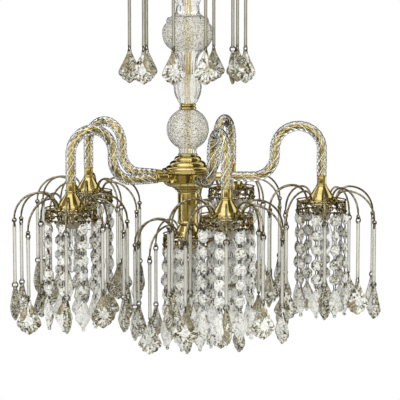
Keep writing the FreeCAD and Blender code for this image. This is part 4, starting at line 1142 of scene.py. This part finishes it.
def shaded(part, kinds, lean, fans=0):
    # every copy of a stone gets its own play of clear and dark facets, painted reflections and shade, and
    # leans to the clear or dark side; a fan is a sector that lies in even olive painted shade
    look, tones, less = facetPlay, [], dice.uniform(*lean)
    sectors = [(dice.uniform(-pi, pi), dice.uniform(*look["fanWidth"])) for _ in range(fans)]
    for kind, turn in kinds:
        if kind in ("inner", "outer") and any(cos(turn - middle) > cos(half) for middle, half in sectors):
            tones.append(dice.uniform(*look["fanTone"]))
            continue
        clear, middling, dark = look[kind]
        clear -= less
        pick = dice.random()
        low, high = look["tones"][0 if pick < clear else 1 if pick < clear + middling else 2]
        tones.append(dice.uniform(low, high))
    return part[0], part[1], tones


# lean is how dark the stones of each lamp are painted, a painted shade that differs from lamp to lamp
beadLook = dict(width=16.6, thickness=8, edge=2.2, table=0.42, levels=3, radius=36,
                strands=8, rows=5, pitch=22, first=-65, turn=-12, twist=8, play=0.15,
                lean=(0.1, -0.1, -0.1, 0.05, -0.22, -0.15))
octagon = [(x, z) for z, x in roundSection(beadLook["width"] / 2 / cos(pi / 8), 16)[1::2]]
bead = cutStone(octagon, 0, beadLook)
beadKinds = facetKinds(bead)

tipDropLook = dict(width=26, height=45, top=-166, middle=0.5, thickness=12, edge=2.4,
                   table=0.34, levels=3, ball=2.9, ballFoot=0.12, ballRun=(0.35, pi - 0.5),
                   hole=-167.6, holeRadius=0.75, drill=9,
                   lean=(-0.5, -0.1), twist=5, shares=(
        (0.14, 0), (0.2, 0.06), (0.42, 0.16), (0.62, 0.26), (0.8, 0.36), (0.94, 0.45), (1, 0.55),
        (0.88, 0.62), (0.66, 0.7), (0.44, 0.79), (0.24, 0.87), (0.13, 0.91), (0, 0.925)))
# the drops' lean is how dark those of each lamp are painted, a painted shade that differs from lamp to lamp
dropLook = dict(width=35, height=50, top=-94.5, middle=0.58, thickness=12, edge=2.6,
                table=0.36, levels=4, hole=-96.9, holeRadius=1.15, drill=9, play=0.2,
                lean=(0.3, 0.4, 0.5, 0.55, 0.25, 0.25), shares=(
        (0.15, 0), (0.19, 0.1), (0.36, 0.22), (0.54, 0.34), (0.71, 0.45), (0.88, 0.56), (1, 0.66),
        (0.98, 0.725), (0.87, 0.78), (0.7, 0.8), (0.68, 0.86), (0.54, 0.905), (0.34, 0.92), (0.2, 0.965),
        (0, 1)))


def threadHole(look):
    return [((0, 0, look["hole"]), (0, 1, 0), look["holeRadius"], look["drill"])]


def tipWithBall(look):
    # the tip drop ends in a small ball
    foot, ball = look["top"] - look["height"], look["ball"]
    line = [(look["ballFoot"], foot)]
    line += [(ball * sin(t), foot + ball * (1 - cos(t))) for t in np.linspace(*look["ballRun"], 7)]
    tip = drilled(gathered([cutDrop(look), turned(line, 12, False)]), threadHole(look))
    return tip, facetKinds(tip, foot + 2 * ball)


tipDrop, tipKinds = tipWithBall(tipDropLook)
largeDrop = drilled(cutDrop(dropLook), threadHole(dropLook))
dropKinds = facetKinds(largeDrop)
largeDrop = moved(largeDrop, spun(90))

# both ends of a rod: share of the radius, distance from the end
rodLook = dict(radius=2.6, top=-5.99, foot=-91.99, margin=2.4, hole=1.15, drill=5, sides=18,
               point=0.1, ends=((0.55, 0.1), (0.85, 0.6), (0.97, 1.4), (1, 3.2), (0.93, 20)))


def glassRod(yaw):
    look = rodLook
    top, foot = look["top"], look["foot"]
    ends = [(look["point"], 0.0)] + [(look["radius"] * share, run) for share, run in look["ends"]]
    line = [(r, foot + run) for r, run in ends] + [(r, top - run) for r, run in reversed(ends)]
    way = (cos(radians(yaw)), sin(radians(yaw)), 0)
    return drilled(turned(line, look["sides"], False),
                   [((0, 0, top - look["margin"]), (0, 1, 0), look["hole"], look["drill"]),
                    ((0, 0, foot + look["margin"]), way, look["hole"], look["drill"])])


linkLook = dict(radius=4, wire=1, top=-4.85, low=-93.13)
topLink = wireRing((0, 0, linkLook["top"]), (1, 0, 0), linkLook["radius"], linkLook["wire"], 28)
lowLink = wireRing((0, 0, linkLook["low"]), (0, 1, 0), linkLook["radius"], linkLook["wire"], 28)


def underEye(look, rise):
    # the place under a wire's eye, for a wire that runs out along X
    return at(look["start"] + look["reach"], 0, look["foot"] + 2 * rise - look["reach"] - wireBend["eye"])


def pendant(hang, yaw, rod, lean, fans):
    faced = hang @ spun(yaw)
    drop = moved(shaded(largeDrop, dropKinds, lean, fans), faced)
    return moved(rod, hang), drop, [moved(topLink, hang), moved(lowLink, faced)]


rods, drops, links = [], [], []
rodParts = [glassRod(yaw) for yaw in wireBend["facing"]]
for place, less in zip(lampPlaces, dropLook["lean"]):
    lean = (less - dropLook["play"], less + dropLook["play"])
    for turn, share, yaw, rod in zip(wireTurns, wireBend["shares"], wireBend["facing"], rodParts):
        hang = place @ spun(turn) @ underEye(wireBend, wireBend["rise"] * share)
        rod, drop, pair = pendant(hang, yaw, rod, lean, dice.choice((0, 1, 1, 2)))
        rods.append(rod)
        drops.append(drop)
        links += pair
makePiece("sprayRods", rods, "rod", "spray_rods", sharp=50)
makePiece("sprayDrops", drops, "dropCrystal", "spray_drops", sharp=0)
makePiece("linkRings", links, "darkWire", "pendant_rings")
print("sprays ready")

# each wire's place round the crown, the way its drop faces, how dark the drop's painted shade is and its
# olive fans
crownBend = dict(start=21.2, foot=-39.5, reach=65, rise=16, wires=(
        (-70, 0, 0.2, 1), (-38, 41, 0.4, 2), (-5, -50, 0.35, 1), (32, 40, 0.45, 2), (65, 8, 0.4, 2),
        (101, 20, 0.3, 1), (139, -70, 0.45, 2), (185, 68, 0.5, 3), (225, 30, 0.4, 2), (259, 34, 0.25, 1)))
for k, (turn, yaw, dark, fans) in enumerate(crownBend["wires"], start=1):
    hang = spun(turn) @ underEye(crownBend, crownBend["rise"])
    rod, drop, pair = pendant(hang, yaw, glassRod(yaw), (dark, dark), fans)
    body = "crown_pendant_%d" % k
    makePiece("crownRod_%d" % k, [rod], "crownRod", body, body, sharp=50)
    makePiece("crownDrop_%d" % k, [drop], "dropCrystal", body=body, sharp=0)
    makePiece("crownLinks_%d" % k, pair, "darkWire", body=body)
print("crown drops ready")

# bead strings with their wire bows, each bow held by a flat-headed pin in both beads
bowLook = dict(wire=0.8, half=1.8, into=2.3, pinInto=2, first=2,
               pin=((0.35, 2.9), (1.3, 2.65), (0.65, 2.3), (0.3, 2)))


def bow(top, foot):
    look, middle = bowLook, (0, 0, (top + foot) / 2)
    longer = ((top - foot) / 2 + look["into"]) / look["half"]
    parts = [wireRing(middle, (1, 0, 0), look["half"], look["wire"], 20, 6, longer)]
    pin = turned([(r, -y) for r, y in look["pin"]] + list(look["pin"][::-1]), 8, False)
    for z in (top + look["pinInto"], foot - look["pinInto"]):
        parts.append(moved(pin, at(0, 0, z) @ spun(90, "Y")))
    return gathered(parts)


half = beadLook["width"] / 2
levels = [beadLook["first"] - k * beadLook["pitch"] for k in range(beadLook["rows"])]
bows = [bow(levels[0] + half + bowLook["first"], levels[0] + half)]
bows += [bow(above - half, below + half) for above, below in zip(levels, levels[1:])]
bows.append(bow(levels[-1] - half, tipDropLook["top"]))
pins, tips = [], []
for number, (lampPlace, less) in enumerate(zip(lampPlaces, beadLook["lean"]), start=1):
    beads = []
    lean = (less - beadLook["play"], less + beadLook["play"])
    for k in range(beadLook["strands"]):
        turn = beadLook["turn"] + k * 360 / beadLook["strands"]
        line = lampPlace @ spun(turn) @ at(beadLook["radius"], 0, 0)
        for level, height in enumerate(levels):
            twist = beadLook["twist"] * ((3 * k + 5 * level + number) % 7 - 3)
            beads.append(moved(shaded(bead, beadKinds, lean), line @ at(0, 0, height) @ spun(90 + twist)))
        pins += [moved(one, line) for one in bows]
        stone = shaded(tipDrop, tipKinds, tipDropLook["lean"], dice.choice((0, 0, 0, 1)))
        tips.append(moved(stone, line @ spun(90 + tipDropLook["twist"] * ((k + number) % 3 - 1))))
    makePiece("beadStrands_%d" % number, beads, "crystal", "bead_strands_%d" % number, sharp=0)
makePiece("curtainDrops", tips, "dropCrystal", "curtain_drops", sharp=0)
makePiece("beadBows", pins, "darkWire", "strand_pins")
print("bead strings ready")

# bulbs: clear glass round a glass foot with a filament, a rolled screw cap and its contact
bulbLook = dict(foot=-131, height=65, radius=17.5, segments=64, wall=0.7, step=1.4, tip=(3, 9), shares=(
        (0.02, 0), (0.42, 0.13, 0.12), (1, 0.5, 0.13), (0.84, 0.8, 0.07), (0.52, 0.965, 0.05),
        (0.34, 0.985, 0.1)),
    stem=((0.1, -89.6), (1.6, -89), (2.3, -87), (1.7, -84), (2.4, -74), (3.4, -67)),
    screw=6.75, screwFoot=-66, screwHeight=22, mouth=5.6, pitch=3.4, thread=0.75,
    # the thread sets in over millimetres above the foot and runs out over shares of the height
    threadIn=(1.2, 2.6), threadOut=(0.78, 0.84), threadStep=0.3,
    # shares of the screw's radius and height
    shoulder=((0.86, 0.87), (0.62, 0.93)), glaze=((0.62, 0.925), (0.5, 0.95), (0.36, 0.965)),
    contact=((0.36, 0.955), (0.36, 0.975), (0.25, 0.995), (0.04, 1)),
    lead=0.3, leads=((1, -86), (1.6, -91), (5.2, -97)),
    coil=dict(height=-97, half=5.2, sag=2.2, radius=0.7, turns=40, wire=0.22))


def bulbParts():
    look = bulbLook
    wall, z0, height = look["wall"], look["screwFoot"], look["screwHeight"]
    outline = fineLine(bowLine(look, 20), look["step"])
    # the inside stays a wall's thickness above the glass tip, which is this wide and high
    near, rise = look["tip"]
    inside = [(max(r - wall, 0.01), z + (wall if r < near and z < look["foot"] + rise else 0))
              for r, z in reversed(outline)]
    glass = gathered([turned(outline + inside, look["segments"]), turned(look["stem"], 20, False)])

    def screwLine(shares):
        return [(look["screw"] * r, z0 + height * s) for r, s in shares]

    def ripple(r, z, turn):
        low, high = look["threadIn"]
        share = smoothStep(z0 + low, z0 + high, z)
        low, high = look["threadOut"]
        share = share * (1 - smoothStep(z0 + height * low, z0 + height * high, z))
        return share * look["thread"] * (0.5 * np.cos(2 * pi * z / look["pitch"] - turn) - 0.5)

    line = [(look["mouth"], z0 - 0.2), (look["screw"] * 0.97, z0)]
    wound = np.arange(0.4, height * look["threadOut"][1], look["threadStep"])
    line += [(look["screw"], z0 + s) for s in wound]
    cap = turned(line + screwLine(look["shoulder"]), 48, False, ripple)
    glaze = turned(screwLine(look["glaze"]), 32, False)
    contact = turned(screwLine(look["contact"]), 24, False)
    lead = roundSection(look["lead"], 6)
    wires = [swept([(way * x, 0, z) for x, z in look["leads"]], lead) for way in (-1, 1)]
    coil = look["coil"]
    path = [(coil["half"] * x, coil["radius"] * cos(coil["turns"] * x),
             coil["height"] - coil["sag"] * (1 - x * x) + coil["radius"] * sin(coil["turns"] * x))
            for x in np.linspace(-1, 1, 121)]
    wires.append(swept(path, roundSection(coil["wire"], 5)))
    return glass, gathered([cap, contact]), glaze, gathered(wires)


bulbGlass, bulbCap, bulbGlaze, bulbWires = bulbParts()
for k, place in enumerate(lampPlaces, start=1):
    body = "bulb_%d" % k
    makePiece("bulbGlass_%d" % k, [moved(bulbGlass, place)], "bulb", body, body, sharp=60)
    makePiece("bulbCap_%d" % k, [moved(bulbCap, place)], body=body, sharp=60)
    makePiece("bulbGlaze_%d" % k, [moved(bulbGlaze, place)], "black", body=body, sharp=40)
    makePiece("filament_%d" % k, [moved(bulbWires, place)], "darkWire", body=body, sharp=60)
print("bulbs ready:", len(pieces), "pieces in all")

low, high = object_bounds()
